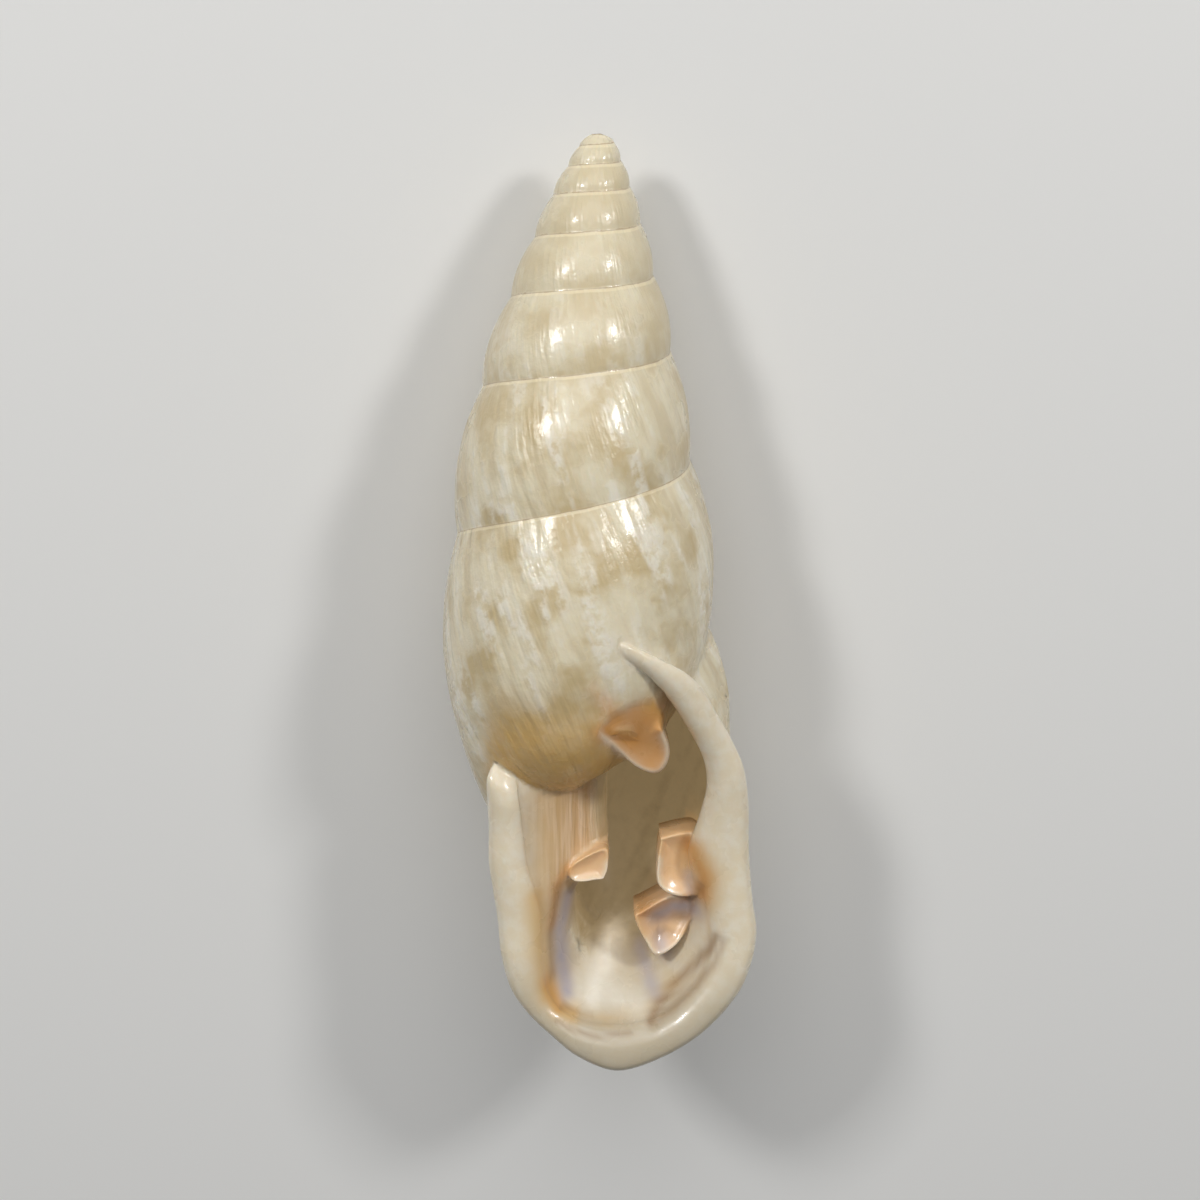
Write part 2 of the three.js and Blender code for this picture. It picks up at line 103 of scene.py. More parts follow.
# the last whorl: whorl count, belly radius, belly drop, base drop, fullness below the belly
BODY = [
    (4.2, 6.0, 16.2, 24.4, 2.6), (4.5, 6.6, 18.6, 27, 2.6), (5, 7.27, 23, 33.1, 2.5),
    (5.25, 7.32, 25, 35.1, 2.6), (5.4, 7.33, 26.4, 36.2, 2.4), (5.5, 7.36, 27.2, 40.8, 1.5),
    (5.75, 7.8, 29.3, 45, 2.0), (6, 8.34, 31.5, 46.4, 2.7),
]
# the mouth, clockwise from its top: where the neck leaves the whorl as whorl count and drop, then
# the outer edge, inner edge, throat and end of the wall inside, each as X, drop, Z
MOUTH = [
    (5.98, 25.9, 1.4, 26.1, 6.2, 1.5, 27.0, 6.0, 1.8, 27.4, 5.2, 5.6, 27.0, -0.8),
    (5.98, 26.1, 2.3, 25.95, 7.0, 2.35, 26.9, 6.65, 2.7, 27.4, 5.6, 5.9, 27.3, -0.8),
    (5.98, 26.5, 3.3, 26.35, 6.75, 3.25, 27.45, 6.35, 3.8, 27.9, 5.2, 6.3, 27.7, -0.8),
    (5.98, 27.1, 4.5, 27.05, 6.3, 4.1, 28.35, 5.85, 4.9, 28.8, 4.4, 7.16, 28.3, -0.96),
    (5.98, 27.9, 5.6, 27.75, 5.75, 4.9, 29.45, 5.3, 5.8, 29.9, 3.4, 7.39, 29.2, -1.06),
    (5.98, 28.8, 6.5, 28.7, 5.1, 5.65, 30.7, 4.7, 6.6, 31.1, 2.6, 7.56, 30.2, -1.04),
    (5.98, 29.9, 7.3, 30.1, 4.6, 6.3, 31.9, 4.2, 7.2, 32.3, 2.0, 7.61, 31.4, -1.13),
    (5.98, 31.2, 8.1, 31.6, 4.15, 6.75, 33.1, 3.7, 7.5, 33.5, 1.4, 7.58, 32.6, -1.21),
    (5.98, 32.8, 8.8, 33.3, 3.8, 6.85, 34.4, 3.3, 7.5, 34.9, 1.0, 7.54, 34.0, -1.21),
    (5.98, 34.6, 9.1, 35.4, 3.45, 6.5, 36.0, 2.9, 7.1, 36.4, 0.7, 7.43, 35.4, -1.31),
    (5.98, 36.6, 9.15, 38.2, 3.2, 5.9, 38.2, 2.5, 6.4, 38.6, 0.4, 7.2, 37.2, -1.4),
    (5.98, 38.6, 9.35, 40.6, 3.1, 6.5, 40.3, 2.5, 5.6, 40.6, 0.2, 6.73, 39.1, -1.51),
    (5.98, 40.5, 9.6, 42.6, 3.1, 6.9, 42.2, 2.6, 5.5, 42.0, 0, 6.16, 40.6, -1.64),
    (5.98, 42.2, 9.2, 44.6, 3.2, 6.8, 44.0, 2.7, 5.0, 43.3, -0.2, 5.45, 41.8, -1.89),
    (5.98, 43.6, 8.4, 46.2, 3.3, 6.1, 45.4, 2.8, 4.1, 44.3, -0.4, 4.57, 42.8, -2.18),
    (5.98, 45.1, 6.65, 48.05, 3.5, 4.8, 46.6, 2.8, 3.1, 44.5, -0.5, 3.98, 43.2, -2.41),
    (5.98, 45.8, 4.5, 49.35, 3.6, 3.3, 47.3, 2.8, 2.2, 44.3, -0.6, 3.44, 43.3, -2.75),
    (5.97, 46.1, 2.2, 50.1, 3.6, 1.8, 47.4, 2.8, 1.5, 44.0, -0.6, 2.94, 43.2, -3.1),
    (5.92, 45.8, 0.05, 49.4, 3.5, 0.3, 47.2, 2.8, 0.8, 44.1, -0.5, 1.93, 42.9, -3.54),
    (5.83, 45.1, -1.5, 48.15, 3.4, -0.9, 46.6, 2.8, 0.1, 44.1, -0.4, 0.76, 42.4, -3.33),
    (5.73, 43.4, -2.8, 46.9, 3.3, -1.5, 45.8, 2.8, -0.4, 43.3, -0.3, 0.0, 41.6, -2.95),
    (5.64, 42.0, -3.7, 45.5, 3.2, -1.75, 44.7, 2.8, -0.5, 42.5, -0.2, 0.0, 40.8, -2.52),
    (5.57, 40.8, -4.2, 43.6, 3.1, -1.8, 43.1, 2.8, -0.5, 41.6, -0.2, 0.2, 39.8, -1.9),
    (5.52, 39.8, -4.35, 41.8, 3.0, -1.8, 41.5, 2.8, -0.3, 40.7, -0.3, 0.6, 38.9, -1.8),
    (5.49, 38.8, -4.6, 40.2, 3.0, -2.1, 40.1, 2.9, 0.6, 39.7, -0.4, 1.1, 38.0, -1.8),
    (5.47, 37.8, -4.8, 38.6, 3.1, -2.5, 38.7, 3.0, 1.5, 38.7, -0.6, 1.35, 37.2, -1.8),
    (5.45, 36.8, -4.8, 36.8, 3.2, -2.7, 37.1, 3.1, 1.5, 37.2, -0.7, 1.35, 36.2, -1.8),
    (5.43, 35.8, -4.85, 35.2, 3.4, -2.85, 35.7, 3.3, 1.5, 35.6, -0.8, 1.35, 35, -1.8),
    (5.42, 34.8, -4.85, 33.9, 3.7, -3.0, 34.7, 3.4, 1.5, 34.3, -0.8, 1.35, 33.8, -1.8),
    (5.42, 33.9, -4.5, 33.0, 3.5, -3.1, 33.6, 3.2, 1.4, 33.0, -0.8, 1.3, 32.6, -1.8),
]
# how high the lip bulges, how far it rolls back, and how quickly it thins out at both its ends
LIP_RISE = 0.95
LIP_ROLL = 1.1
LIP_TAPERS = (12.4, 15.5)
# the neck starts this far inside the whorl's surface
NECK_DEPTH = 0.05

# teeth in the mouth: outline as X and drop, root depth, tip depth, how much the tip narrows,
# how deep its face is dished and how the face slopes along X and drop
TEETH = {
    "parietal": (
        [(1.0, 30.7), (1.6, 31.5), (2.25, 32.3), (2.95, 33.05), (3.6, 33.5), (4.2, 33.65),
         (4.65, 33.3), (4.87, 32.6), (4.8, 31.9), (4.6, 31.3), (4.4, 30.7), (4.2, 30.0),
         (3.6, 29.5), (2.3, 29.5)],
        1.6, 5.0, 0.84, 0.45, -0.38, -0.5),
    "columellar": (
        [(-0.6, 39.4), (0.1, 38.8), (1.5, 38.2), (1.62, 39.2), (1.45, 39.8), (1.2, 40.0),
         (-0.3, 40.1)],
        -1.5, 1.7, 0.86, 0.35, 0, 0),
    "upper_palatal": (
        [(4.4, 37.6), (4.55, 37.35), (6.4, 37.1), (7.2, 38.4), (7.0, 40.6), (5.4, 40.8),
         (4.3, 40.1), (4.25, 38.7)],
        -0.6, 2.4, 0.88, 0.45, -0.12, 0),
    "lower_palatal": (
        [(3.0, 41.9), (3.4, 41.5), (5.2, 40.7), (6.4, 41.4), (5.6, 43.4), (4.3, 44.2),
         (3.6, 43.3)],
        -1.2, 2.1, 0.86, 0.6, -0.3, 0),
}

# how the grown shell moves to lie on its back, and the eye that sees it as it was photographed
SHIFT = (-1.125716, 24.723032, 4.401075)
EYE_TARGET = (1.161, -24.86, 0)
EYE_TILT = math.radians(9.5)
EYE_DISTANCE = 151.2
LENS = 84
# what the lights face, in metres
SHELL_MIDDLE = (0, 0, 0.007)

# which surface a face comes from
SOURCES = OUTSIDE, LIP, TOOTH, INSIDE = range(4)

# how often the fresh joins and the soft places are averaged
JOIN_PASSES = 6
SOFT_PASSES = 60
# across the lip, in points of its section: where the neck turns into lip, where the inner slope
# turns into throat, and the end deep inside
NECK_TO_LIP = (2.2, 3.6)
LIP_TO_THROAT = (9.6, 11.2)
DEEP_INSIDE = 13.0
# stored for what isn't on the outside
FAR_FROM_SEAM = 9
# heights in mm: lumps and growth ribs of the whorls, frills behind the lip, lumps of the lip
LUMP = 0.055
RIB = 0.03
FRILL = 0.03
LIP_LUMP = 0.03
# grooves under the brown lines
GROOVE_DEPTH = 0.14
GROOVE_WIDEN = 1.4


def rows(table, at):
    """Smooth curve through table rows; the first number of each row is where it stands."""
    table = np.asarray(table, float)
    x, v = table[:, 0], table[:, 1:]
    at = np.atleast_1d(np.asarray(at, float))
    i = np.clip(np.searchsorted(x, at, "left") - 1, 0, len(x) - 2)
    before, after = np.maximum(i - 1, 0), np.minimum(i + 2, len(x) - 1)
    span = x[i + 1] - x[i]
    f = ((at - x[i]) / span)[:, None]
    span = span[:, None]
    slope_a = (v[i + 1] - v[before]) / (x[i + 1] - x[before])[:, None]
    slope_b = (v[after] - v[i]) / (x[after] - x[i])[:, None]
    return (
        (2 * f**3 - 3 * f**2 + 1) * v[i] + (f**3 - 2 * f**2 + f) * slope_a * span
        + (3 * f**2 - 2 * f**3) * v[i + 1] + (f**3 - f**2) * slope_b * span
    )


def place(p):
    """The spire leans, so each ring is shifted and turned a little. X, drop, Z to X, Y, Z."""
    x, drop, z = np.asarray(p, float).T
    rest = np.maximum(0, 1 - drop / LEAN_LENGTH)
    slope = LEAN * LEAN_POWER / LEAN_LENGTH * rest ** (LEAN_POWER - 1)
    return np.stack([LEAN * rest**LEAN_POWER + x, -(drop + x * slope), z], 1)


def unplace(p):
    """X, Y, Z back to X, drop, Z."""
    x, y, z = np.asarray(p, float).T
    drop = -y.copy()
    for _ in range(6):
        rest = np.maximum(0, 1 - drop / LEAN_LENGTH)
        along = x - LEAN * rest**LEAN_POWER
        drop = -y - along * LEAN * LEAN_POWER / LEAN_LENGTH * rest ** (LEAN_POWER - 1)
    return np.stack([along, drop, z], 1)


def on_ring(t, radius, drop):
    """Points round the axis at whorl counts, in X, Y, Z."""
    t, radius, drop = np.broadcast_arrays(t, radius, drop)
    return place(np.stack([radius * np.cos(TAU * t), drop, radius * np.sin(TAU * t)], 1))


def base_of(t):
    """Where a whorl's base meets the axis, and how full it is on the way there."""
    top, following = rows(SEAM, t)[:, 1], rows(SEAM, t + 1)[:, 1]
    body = rows(BODY, t)
    early = t <= BODY[0][0]
    return (
        np.where(early, top + 1.6 * (following - top), body[:, 2]),
        np.where(early, BODY[0][4], body[:, 3]),
    )


def outside(t, drop):
    """Radius of the whorl's outside at a drop, from its upper seam to its base."""
    t, drop = (np.atleast_1d(a).astype(float) for a in np.broadcast_arrays(t, drop))
    radius, top = rows(SEAM, t).T
    next_radius, next_drop = rows(SEAM, t + 1).T
    last = t >= LAST_TURN
    share, out = rows(BELLY, t).T
    body = rows(BODY, t)
    wide = np.where(last, body[:, 0], next_radius + out)
    wide_drop = np.where(last, body[:, 1], top + (next_drop - top) * share)
    f = (drop - top) / (wide_drop - top)
    upper = radius + (wide - radius) * (1 - (1 - f) ** 2)
    f = (drop - wide_drop) / np.maximum(next_drop - wide_drop, 1e-9)
    middle = wide - (wide - next_radius) * f * f
    base, fullness = base_of(t)
    start = np.where(last, wide_drop, next_drop)
    full = np.where(last, wide, next_radius)
    f = np.clip((drop - start) / (base - start), 0, 1)
    lower = full * np.sqrt(np.maximum(0, 1 - f**fullness))
    return np.where(drop <= wide_drop, upper, np.where(~last & (drop <= next_drop), middle, lower))


class Sheet:
    """Collects points and faces of one closed surface."""

    def __init__(self):
        self.points = []
        self.faces = []
        self.count = 0

    def add(self, points):
        """Adds points and gives their numbers."""
        first = self.count
        self.points.append(np.asarray(points, float))
        self.count += len(points)
        return np.arange(first, self.count)

    def strip(self, left, right):
        """Faces between two rows of points."""
        self.faces += [
            (left[r], right[r], right[r + 1], left[r + 1]) for r in range(len(left) - 1)
        ]

    def rings(self, rings):
        """Closed rings of equal size joined in a row, with flat ends."""
        for a, b in zip(rings, rings[1:]):
            self.strip([*a, a[0]], [*b, b[0]])
        self.faces += [tuple(rings[0]), tuple(rings[-1][::-1])]

    def build(self, name, kind):
        """A Blender object of the surface, in mm, with its faces pointing out."""
        points = np.concatenate(self.points)
        mesh = bpy.data.meshes.new(name)
        mesh.from_pydata(points.tolist(), [], [tuple(int(i) for i in f) for f in self.faces])
        mesh.validate()
        for slot in SOURCES:
            zone = f"zone{slot}"
            mesh.materials.append(bpy.data.materials.get(zone) or bpy.data.materials.new(zone))
        mesh.polygons.foreach_set("material_index", np.full(len(mesh.polygons), kind, np.int32))
        mesh.update()
        if signed_volume(mesh) < 0:
            mesh.flip_normals()
        obj = bpy.data.objects.new(name, mesh)
        bpy.context.scene.collection.objects.link(obj)
        return obj


def signed_volume(mesh):
    """Six times the volume of a closed mesh, below 0 where its faces point in."""
    mesh.calc_loop_triangles()
    corners = np.empty(len(mesh.loop_triangles) * 3, np.int32)
    mesh.loop_triangles.foreach_get("vertices", corners)
    points = vertices(mesh)[corners].reshape(-1, 3, 3)
    return float(np.einsum("ij,ij->i", points[:, 0], np.cross(points[:, 1], points[:, 2])).sum())


def vertices(mesh):
    """The mesh's points as an array."""
    out = np.empty(len(mesh.vertices) * 3, np.float32)
    mesh.vertices.foreach_get("co", out)
    return out.reshape(-1, 3).astype(float)


# rows of points between two seams, and from the last seam down to the base, as shares of the way
SEAM_ROWS = [
    0, 0.015, 0.035, 0.06, 0.1, 0.16, 0.23, 0.31, 0.4, 0.49, 0.58, 0.67, 0.76, 0.84, 0.91, 0.96, 0.985,
]
BASE_ROWS = [0.12, 0.25, 0.38, 0.5, 0.61, 0.71, 0.8, 0.88, 0.94, 0.98, 1]


def whorls(end, steps):
    """The whorls from the tip to t = end as one sheet, closed by a flat face where it ends."""
    sheet = Sheet()
    first, last = FIRST_TURN * steps, round(end * steps)
    count = np.arange(first, last + 1)
    t = count / steps
    top, following = rows(SEAM, t)[:, 1], rows(SEAM, t + 1)[:, 1]
    ids = {}
    for r, share in enumerate(SEAM_ROWS):
        drop = top + (following - top) * share
        points = on_ring(t, outside(t, drop), drop)
        if r == 0:
            points[0] = place([(0, 0, 0)])[0]
        for step, index in zip(count, sheet.add(points)):
            ids[step, r] = index
    open_steps = count[count + steps > last]
    t = open_steps / steps
    low = rows(SEAM, t + 1)[:, 1]
    for step, index in zip(open_steps, sheet.add(on_ring(t, outside(t, low), low))):
        ids[step, "low"] = index
    ends = count[count >= last - steps]
    t = ends / steps
    low, base = rows(SEAM, t + 1)[:, 1], base_of(t)[0]
    for r, share in enumerate(BASE_ROWS):
        drop = low + (base - low) * share
        radius = outside(t, drop) if share < 1 else np.zeros(len(t))
        for step, index in zip(ends, sheet.add(on_ring(t, radius, drop))):
            ids[step, "base", r] = index

    def column(step):
        """The points from a whorl's upper seam down to the next seam."""
        below = ids[step, "low"] if step + steps > last else ids[step + steps, 0]
        return [ids[step, r] for r in range(len(SEAM_ROWS))] + [below]

    def base_column(step):
        """The points from the last seam down to the axis."""
        return [ids[step, "base", r] for r in range(len(BASE_ROWS))]

    for step in range(first, last):
        left, right = column(step), column(step + 1)
        if step >= last - steps:
            left, right = left + base_column(step), right + base_column(step + 1)
        sheet.strip(left, right)
    start = column(first)
    for step in range(first + 1, first + steps):
        here = ids[step, 0]
        if step + 1 < first + steps:
            sheet.faces.append((start[0], ids[step + 1, 0], here))
        else:
            sheet.faces += [(a, b, here) for a, b in zip(start, start[1:])]
    inner = [ids[last, 0], *base_column(last - steps)]
    axis = [base_column(step)[-1] for step in range(last - steps + 1, last)]
    outer = (column(last) + base_column(last))[1:]
    sheet.faces.append(tuple(inner + axis + outer[::-1]))
    return sheet


def hollow(start, end, wall, steps):
    """The hollow through the whorls from one whorl count to another, round the pillar."""
    sheet = Sheet()
    rings = []
    for t in np.linspace(start, end, round((end - start) * steps) + 1):
        radius, top = rows(SEAM, t)[0]
        height = rows(SEAM, t + 1)[0][1] - top
        base, before = base_of(np.array([t]))[0][0], base_of(np.array([t - 1]))[0][0]
        pillar = min(COLUMELLA, COLUMELLA_SHARE * radius)
        low = base - wall * 1.3 - BASE_RISE * max(0, t - BODY[-2][0])
        high = top + wall * 1.2 + 0.08 * height
        drop = high + (low - high) * np.array([0, 0.12, 0.3, 0.5, 0.68, 0.82, 0.93, 1])
        thick = wall + BACK_WALL * max(0, -math.sin(TAU * t)) ** 8
        reach = np.maximum(pillar + 0.25, outside(t, drop) - thick)
        section = list(zip(reach, drop))
        roof = before + wall
        for share in (0, 0.35, 0.7):
            at = low + (roof - low) * share
            section.append((0.7 if at > PILLAR_END else pillar, at))
        edge = reach[0]
        for across, up in ((0.1, 0), (0.45, 0.3), (0.8, 0.75)):
            section.append((pillar + (edge - pillar) * across, roof + (high - roof) * up))
        section = smooth_loop(np.array(section), 3)
        rings.append(sheet.add(on_ring(np.full(len(section), t), *section.T)))
    sheet.rings(rings)
    return sheet


def smooth_loop(points, parts):
    """A closed smooth curve through points, cut into equal parts between each pair."""
    count = len(points)
    table = np.column_stack([np.arange(-2, count + 3), points[np.arange(-2, count + 3) % count]])
    return rows(table, np.arange(count * parts) / parts)


def lip_section(at):
    """Points across the neck, lip and throat at one place round the mouth, in X, drop, Z."""
    table = [(i, *station) for i, station in enumerate(MOUTH)]
    t, drop, *rest = rows(table, at)[0]
    outer, inner, throat, deep = np.array(rest).reshape(4, 3)
    radius = outside(t, drop)[0] - NECK_DEPTH
    neck = np.array([radius * math.cos(TAU * t), drop, radius * math.sin(TAU * t)])
    onward = np.array([-math.sin(TAU * t), 0.15, math.cos(TAU * t)])
    out = (outer - inner) * (1, 1, 0)
    out /= np.linalg.norm(out)
    width = np.linalg.norm(outer - inner)
    last = len(MOUTH) - 1
    ends = min(1, at / last * LIP_TAPERS[0], (last - at) / last * LIP_TAPERS[1])
    rise = LIP_RISE * min(1, width / 2.4) * (0.3 + 0.7 * ends)
    roll = min(LIP_ROLL, width * 0.6)
    back = outer - 0.4 * roll * out - (0, 0, roll)
    reach = np.linalg.norm(back - neck)
    arrive = np.array([0, 0, 0.25]) + 0.25 * out
    a, b, c, d = neck, neck + onward * reach * 0.4, back - arrive * reach, back
    f = np.array([0, 0.25, 0.5, 0.75, 1])[:, None]
    section = list((1 - f) ** 3 * a + 3 * (1 - f) ** 2 * f * b + 3 * (1 - f) * f * f * c + f**3 * d)
    for f in (-0.12, 0.05, 0.25, 0.5, 0.75, 1):
        across = (1 - math.cos(math.pi * f)) / 2
        section.append(outer + (inner - outer) * across + (0, 0, rise * math.sin(math.pi * f)))
    return np.array(section + [(inner + throat) / 2 + (0, 0, 0.25), throat, deep])


def lip(steps, parts):
    """The neck and rolled lip, swept round the mouth, and how far across it each point is."""
    sheet = Sheet()
    rings, across = [], []
    for n in range(steps + 1):
        section = lip_section(n / steps * (len(MOUTH) - 1))
        table = np.column_stack([np.arange(len(section)), section])
        at = np.arange((len(section) - 1) * parts + 1) / parts
        fine = rows(table, at)
        rings.append(sheet.add(place(fine)))
        across.append(at)
    sheet.rings(rings)
    return sheet, np.concatenate(across)


def tooth(outline, root, tip, narrow, dish, slope_x, slope_drop):
    """One tooth: its outline carried from root to tip, and closed by a dished face with a soft edge."""
    sheet = Sheet()
    loop = smooth_loop(np.array(outline), TOOTH_PARTS)
    centre = np.mean(outline, axis=0)
    rings = []
    for f, scale, drop in (
        (0, 1, 0), (0.5, 1, 0), (0.75, 1, 0), (0.88, 0.99, 0), (0.96, 0.96, 0), (1, 0.92, 0),
        (1, 0.86, 0.06), (1, 0.78, 0.25), (1, 0.6, 0.6), (1, 0.35, 0.92), (1, 0.12, 1),
    ):
        # the scales above are those of a face that narrows by 0.14
        scale = 1 - (1 - scale) * (1 - narrow) / 0.14
        at = centre + (loop - centre) * scale
        tilt = (at - centre) @ (slope_x, slope_drop)
        z = root + (tip - root + tilt) * f - drop * dish
        rings.append(sheet.add(place(np.column_stack([at, z]))))
    sheet.rings(rings)
    return sheet


def pillar_hollow():
    """The hollow under the end of the pillar."""
    sheet = Sheet()
    sides = 24
    angles = np.arange(sides) / sides
    rings = [
        sheet.add(on_ring(angles, max(radius, 0.02), drop) + PILLAR_SHIFT)
        for radius, drop in PILLAR_HOLLOW
    ]
    sheet.rings(rings)
    return sheet


# stains and lines in the mouth, with a painted shadow and some painted shade among them: strength, half
# width in mm and a path of X and drop
MARKS = {
    "ochre": [
        # painted shadow of the lip's top on the wall beside it
        (0.8, 0.6, [(3.9, 29.3), (4.9, 30.2), (5.6, 31.4)]),
        (0.75, 0.7, [(-2.3, 40.5), (-2.0, 43.3), (-1.6, 45.9)]),
        (1.0, 0.45, [(-1.7, 45.6), (-1.07, 46.7), (-0.3, 47.0)]),
        (0.6, 0.9, [(6.3, 38.3), (7.0, 39.4), (6.7, 40.7)]),
        (0.35, 0.3, [(-0.2, 47.0), (1.6, 47.4), (3.6, 47.0), (5.2, 45.5)]),
        (0.4, 0.8, [(-1.6, 34.6), (-1.7, 38.0), (-1.9, 40.5)]),
    ],
    "orange": [
        (0.85, 0.6, [(1.3, 30.9), (2.1, 31.2), (2.9, 31.4)]),
        (0.35, 0.6, [(2.9, 31), (3.9, 30.1), (4.4, 29.5)]),
        (0.6, 0.45, [(0.9, 28.3), (1.5, 29.3), (2.0, 30.1)]),
        (0.8, 0.4, [(3.6, 41.7), (4.6, 41.5), (5.7, 41.0)]),
        (0.7, 0.55, [(6.1, 37.9), (6.75, 39.4), (6.6, 40.5)]),
        (0.5, 0.4, [(-1.7, 45.3), (-1.1, 46.5)]),
        (0.55, 0.35, [(-0.6, 39.3), (-1.1, 40.3), (-1.4, 42.4)]),
    ],
    "purple": [
        (0.7, 0.45, [(4.4, 43.2), (4.7, 44.3)]),
        (0.95, 0.4, [(-0.5, 41.0), (-1.0, 42.9), (-0.95, 44.6), (-0.6, 46.1)]),
        # on the lower palatal tooth: partly purple stain, partly painted shade
        (0.85, 0.55, [(4.3, 42.0), (5.2, 41.5), (6.2, 41.6)]),
        (0.6, 0.45, [(3.4, 44.4), (3.8, 45.4), (4.1, 46.1)]),
        (0.4, 0.3, [(5.9, 39.6), (6.2, 41.6)]),
    ],
    "brown": [
        # these two darken the lower palatal tooth's face: partly brown stain, partly painted shade
        (0.5, 0.4, [(4.3, 42.2), (5.0, 42.1), (5.8, 42.1)]),
        (0.4, 0.3, [(4.4, 42.9), (5.0, 43.0)]),
        (0.6, 0.24,
         [(7.36, 42.7), (7.04, 43.5), (6.29, 44.5), (5.27, 45.6), (4.25, 46.8), (3.88, 47.4)]),
        (0.35, 0.22, [(7.79, 42.8), (7.31, 44.1), (6.3, 45.5), (4.95, 46.8), (4.04, 47.5)]),
        (0.45, 0.12, [(-0.9, 46.7), (-0.03, 47.0), (0.79, 47.2)]),
        (0.4, 0.12, [(-1.2, 47.3), (-0.19, 47.8), (1.11, 48.1), (2.79, 47.9)]),
        (0.5, 0.2, [(-1.0, 40.3), (-1.5, 42.9), (-1.4, 45.2)]),
        (0.55, 0.2, [(6.6, 40.0), (6.2, 41.2), (6.0, 42.0)]),
    ],
    "white": [
        (0.9, 0.75, [(1.9, 44.0), (1.2, 45.4), (0.7, 46.4)]),
        (0.6, 0.8, [(0.0, 46.2), (1.6, 46.3), (3.2, 46.8)]),
    ],
}
# where the callus hides the last seam
HIDDEN_SEAM = [(-6.4, 31.9), (-5.8, 31.57), (-2.2, 30.2), (1.5, 29.4), (2.4, 29.2)]

# joins smoothed further, in front, deep inside and under the axis: X, drop, half sizes along both,
# lowest and highest Z
SOFT_PLACES = [
    (3.5, 29.7, 2.3, 1.4, 2.5, 9), (0.1, 44.1, 1.7, 2.2, -7, 0), (0.5, 46.3, 2.4, 1.2, -1.5, 1),
]

# the pale free edge of each tooth: first and last point of its outline
FREE_EDGES = {
    "parietal": (0, 9), "columellar": (3, 6), "upper_palatal": (5, 7), "lower_palatal": (4, 6),
}


def lay(p):
    """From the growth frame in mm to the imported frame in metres: on its back, on its flat spots."""
    x, y, z = np.asarray(p, float).T
    c, s = math.cos(LIE), math.sin(LIE)
    return (np.stack([x, y * c + z * s, z * c - y * s], 1) + SHIFT) * MM


def combine(base, parts):
    """Joins and cuts closed surfaces, and leaves one mesh."""
    for obj, operation in parts:
        modifier = base.modifiers.new("combine", "BOOLEAN")
        modifier.operation = operation
        modifier.solver = "MANIFOLD"
        modifier.object = obj
    bpy.context.view_layer.update()
    graph = bpy.context.evaluated_depsgraph_get()
    mesh = bpy.data.meshes.new_from_object(base.evaluated_get(graph))
    for obj in [base] + [obj for obj, _ in parts]:
        bpy.data.objects.remove(obj)
    return mesh


def clean(mesh):
    """Keeps the largest piece of what the cuts leave, and merges slivers."""
    ends = edges(mesh)
    group = np.arange(len(mesh.vertices))
    while True:
        low = np.minimum(group[ends[:, 0]], group[ends[:, 1]])
        after = group.copy()
        np.minimum.at(after, ends[:, 0], low)
        np.minimum.at(after, ends[:, 1], low)
        after = after[after]
        if (after == group).all():
            break
        group = after
    values, counts = np.unique(group, return_counts=True)
    keep = group == values[counts.argmax()]
    bm = bmesh.new()
    bm.from_mesh(mesh)
    bmesh.ops.delete(bm, geom=[v for v in bm.verts if not keep[v.index]], context="VERTS")
    bmesh.ops.remove_doubles(bm, verts=bm.verts, dist=SLIVER)
    mend(bm)
    many = [f for f in bm.faces if f.material_index == OUTSIDE and len(f.verts) > 4]
    bmesh.ops.triangulate(bm, faces=many)
    bm.to_mesh(mesh)
    bm.free()


def mend(bm):
    """Takes off the fins and closes the gaps that merging leaves."""
    fins = [f for f in bm.faces if {1, 3} <= {len(e.link_faces) for e in f.edges}]
    bmesh.ops.delete(bm, geom=fins, context="FACES")
    open_edges = [e for e in bm.edges if e.is_boundary]
    for face in bmesh.ops.holes_fill(bm, edges=open_edges, sides=0)["faces"]:
        face.material_index = max(f.material_index for e in face.edges for f in e.link_faces)


def edges(mesh):
    """The two ends of each edge."""
    out = np.empty(len(mesh.edges) * 2, np.int32)
    mesh.edges.foreach_get("vertices", out)
    return out.reshape(-1, 2)


def face_sources(mesh):
    """Which surface each face comes from."""
    out = np.empty(len(mesh.polygons), np.int32)
    mesh.polygons.foreach_get("material_index", out)
    return out


class Corners:
    """Which vertex and which face each face corner belongs to."""

    def __init__(self, mesh):
        self.vertex = np.empty(len(mesh.loops), np.int32)
        mesh.loops.foreach_get("vertex_index", self.vertex)
        total = np.empty(len(mesh.polygons), np.int32)
        mesh.polygons.foreach_get("loop_total", total)
        self.face = np.repeat(np.arange(len(total)), total)

    def share(self, flags, count):
        """How much of what surrounds each vertex is flagged."""
        hits = np.bincount(self.vertex, flags[self.face].astype(float), count)
        return hits / np.maximum(1, np.bincount(self.vertex, minlength=count))


def blur(values, ends, times, weight=None):
    """Averages values with their neighbours' along the edges."""
    count = len(values)
    values = values.reshape(count, -1).astype(float)
    degree = np.maximum(1, np.bincount(ends.ravel(), minlength=count))[:, None]
    weight = np.full((count, 1), 0.5) if weight is None else weight[:, None] * 0.5
    for _ in range(times):
        total = np.stack([
            np.bincount(ends[:, 0], v[ends[:, 1]], count) + np.bincount(ends[:, 1], v[ends[:, 0]], count)
            for v in values.T
        ], 1)
        values = values + weight * (total / degree - values)
    return values.squeeze()


def steps_from(flags, ends, reach):
    """1 on flagged vertices, falling to 0 over a number of edges."""
    level = flags.astype(float)
    for k in range(1, reach):
        near = np.zeros(len(flags))
        np.maximum.at(near, ends[:, 0], level[ends[:, 1]])
        np.maximum.at(near, ends[:, 1], level[ends[:, 0]])
        level = np.maximum(level, np.where(near > 0, 1 - k / reach, 0) * (level == 0))
    return level


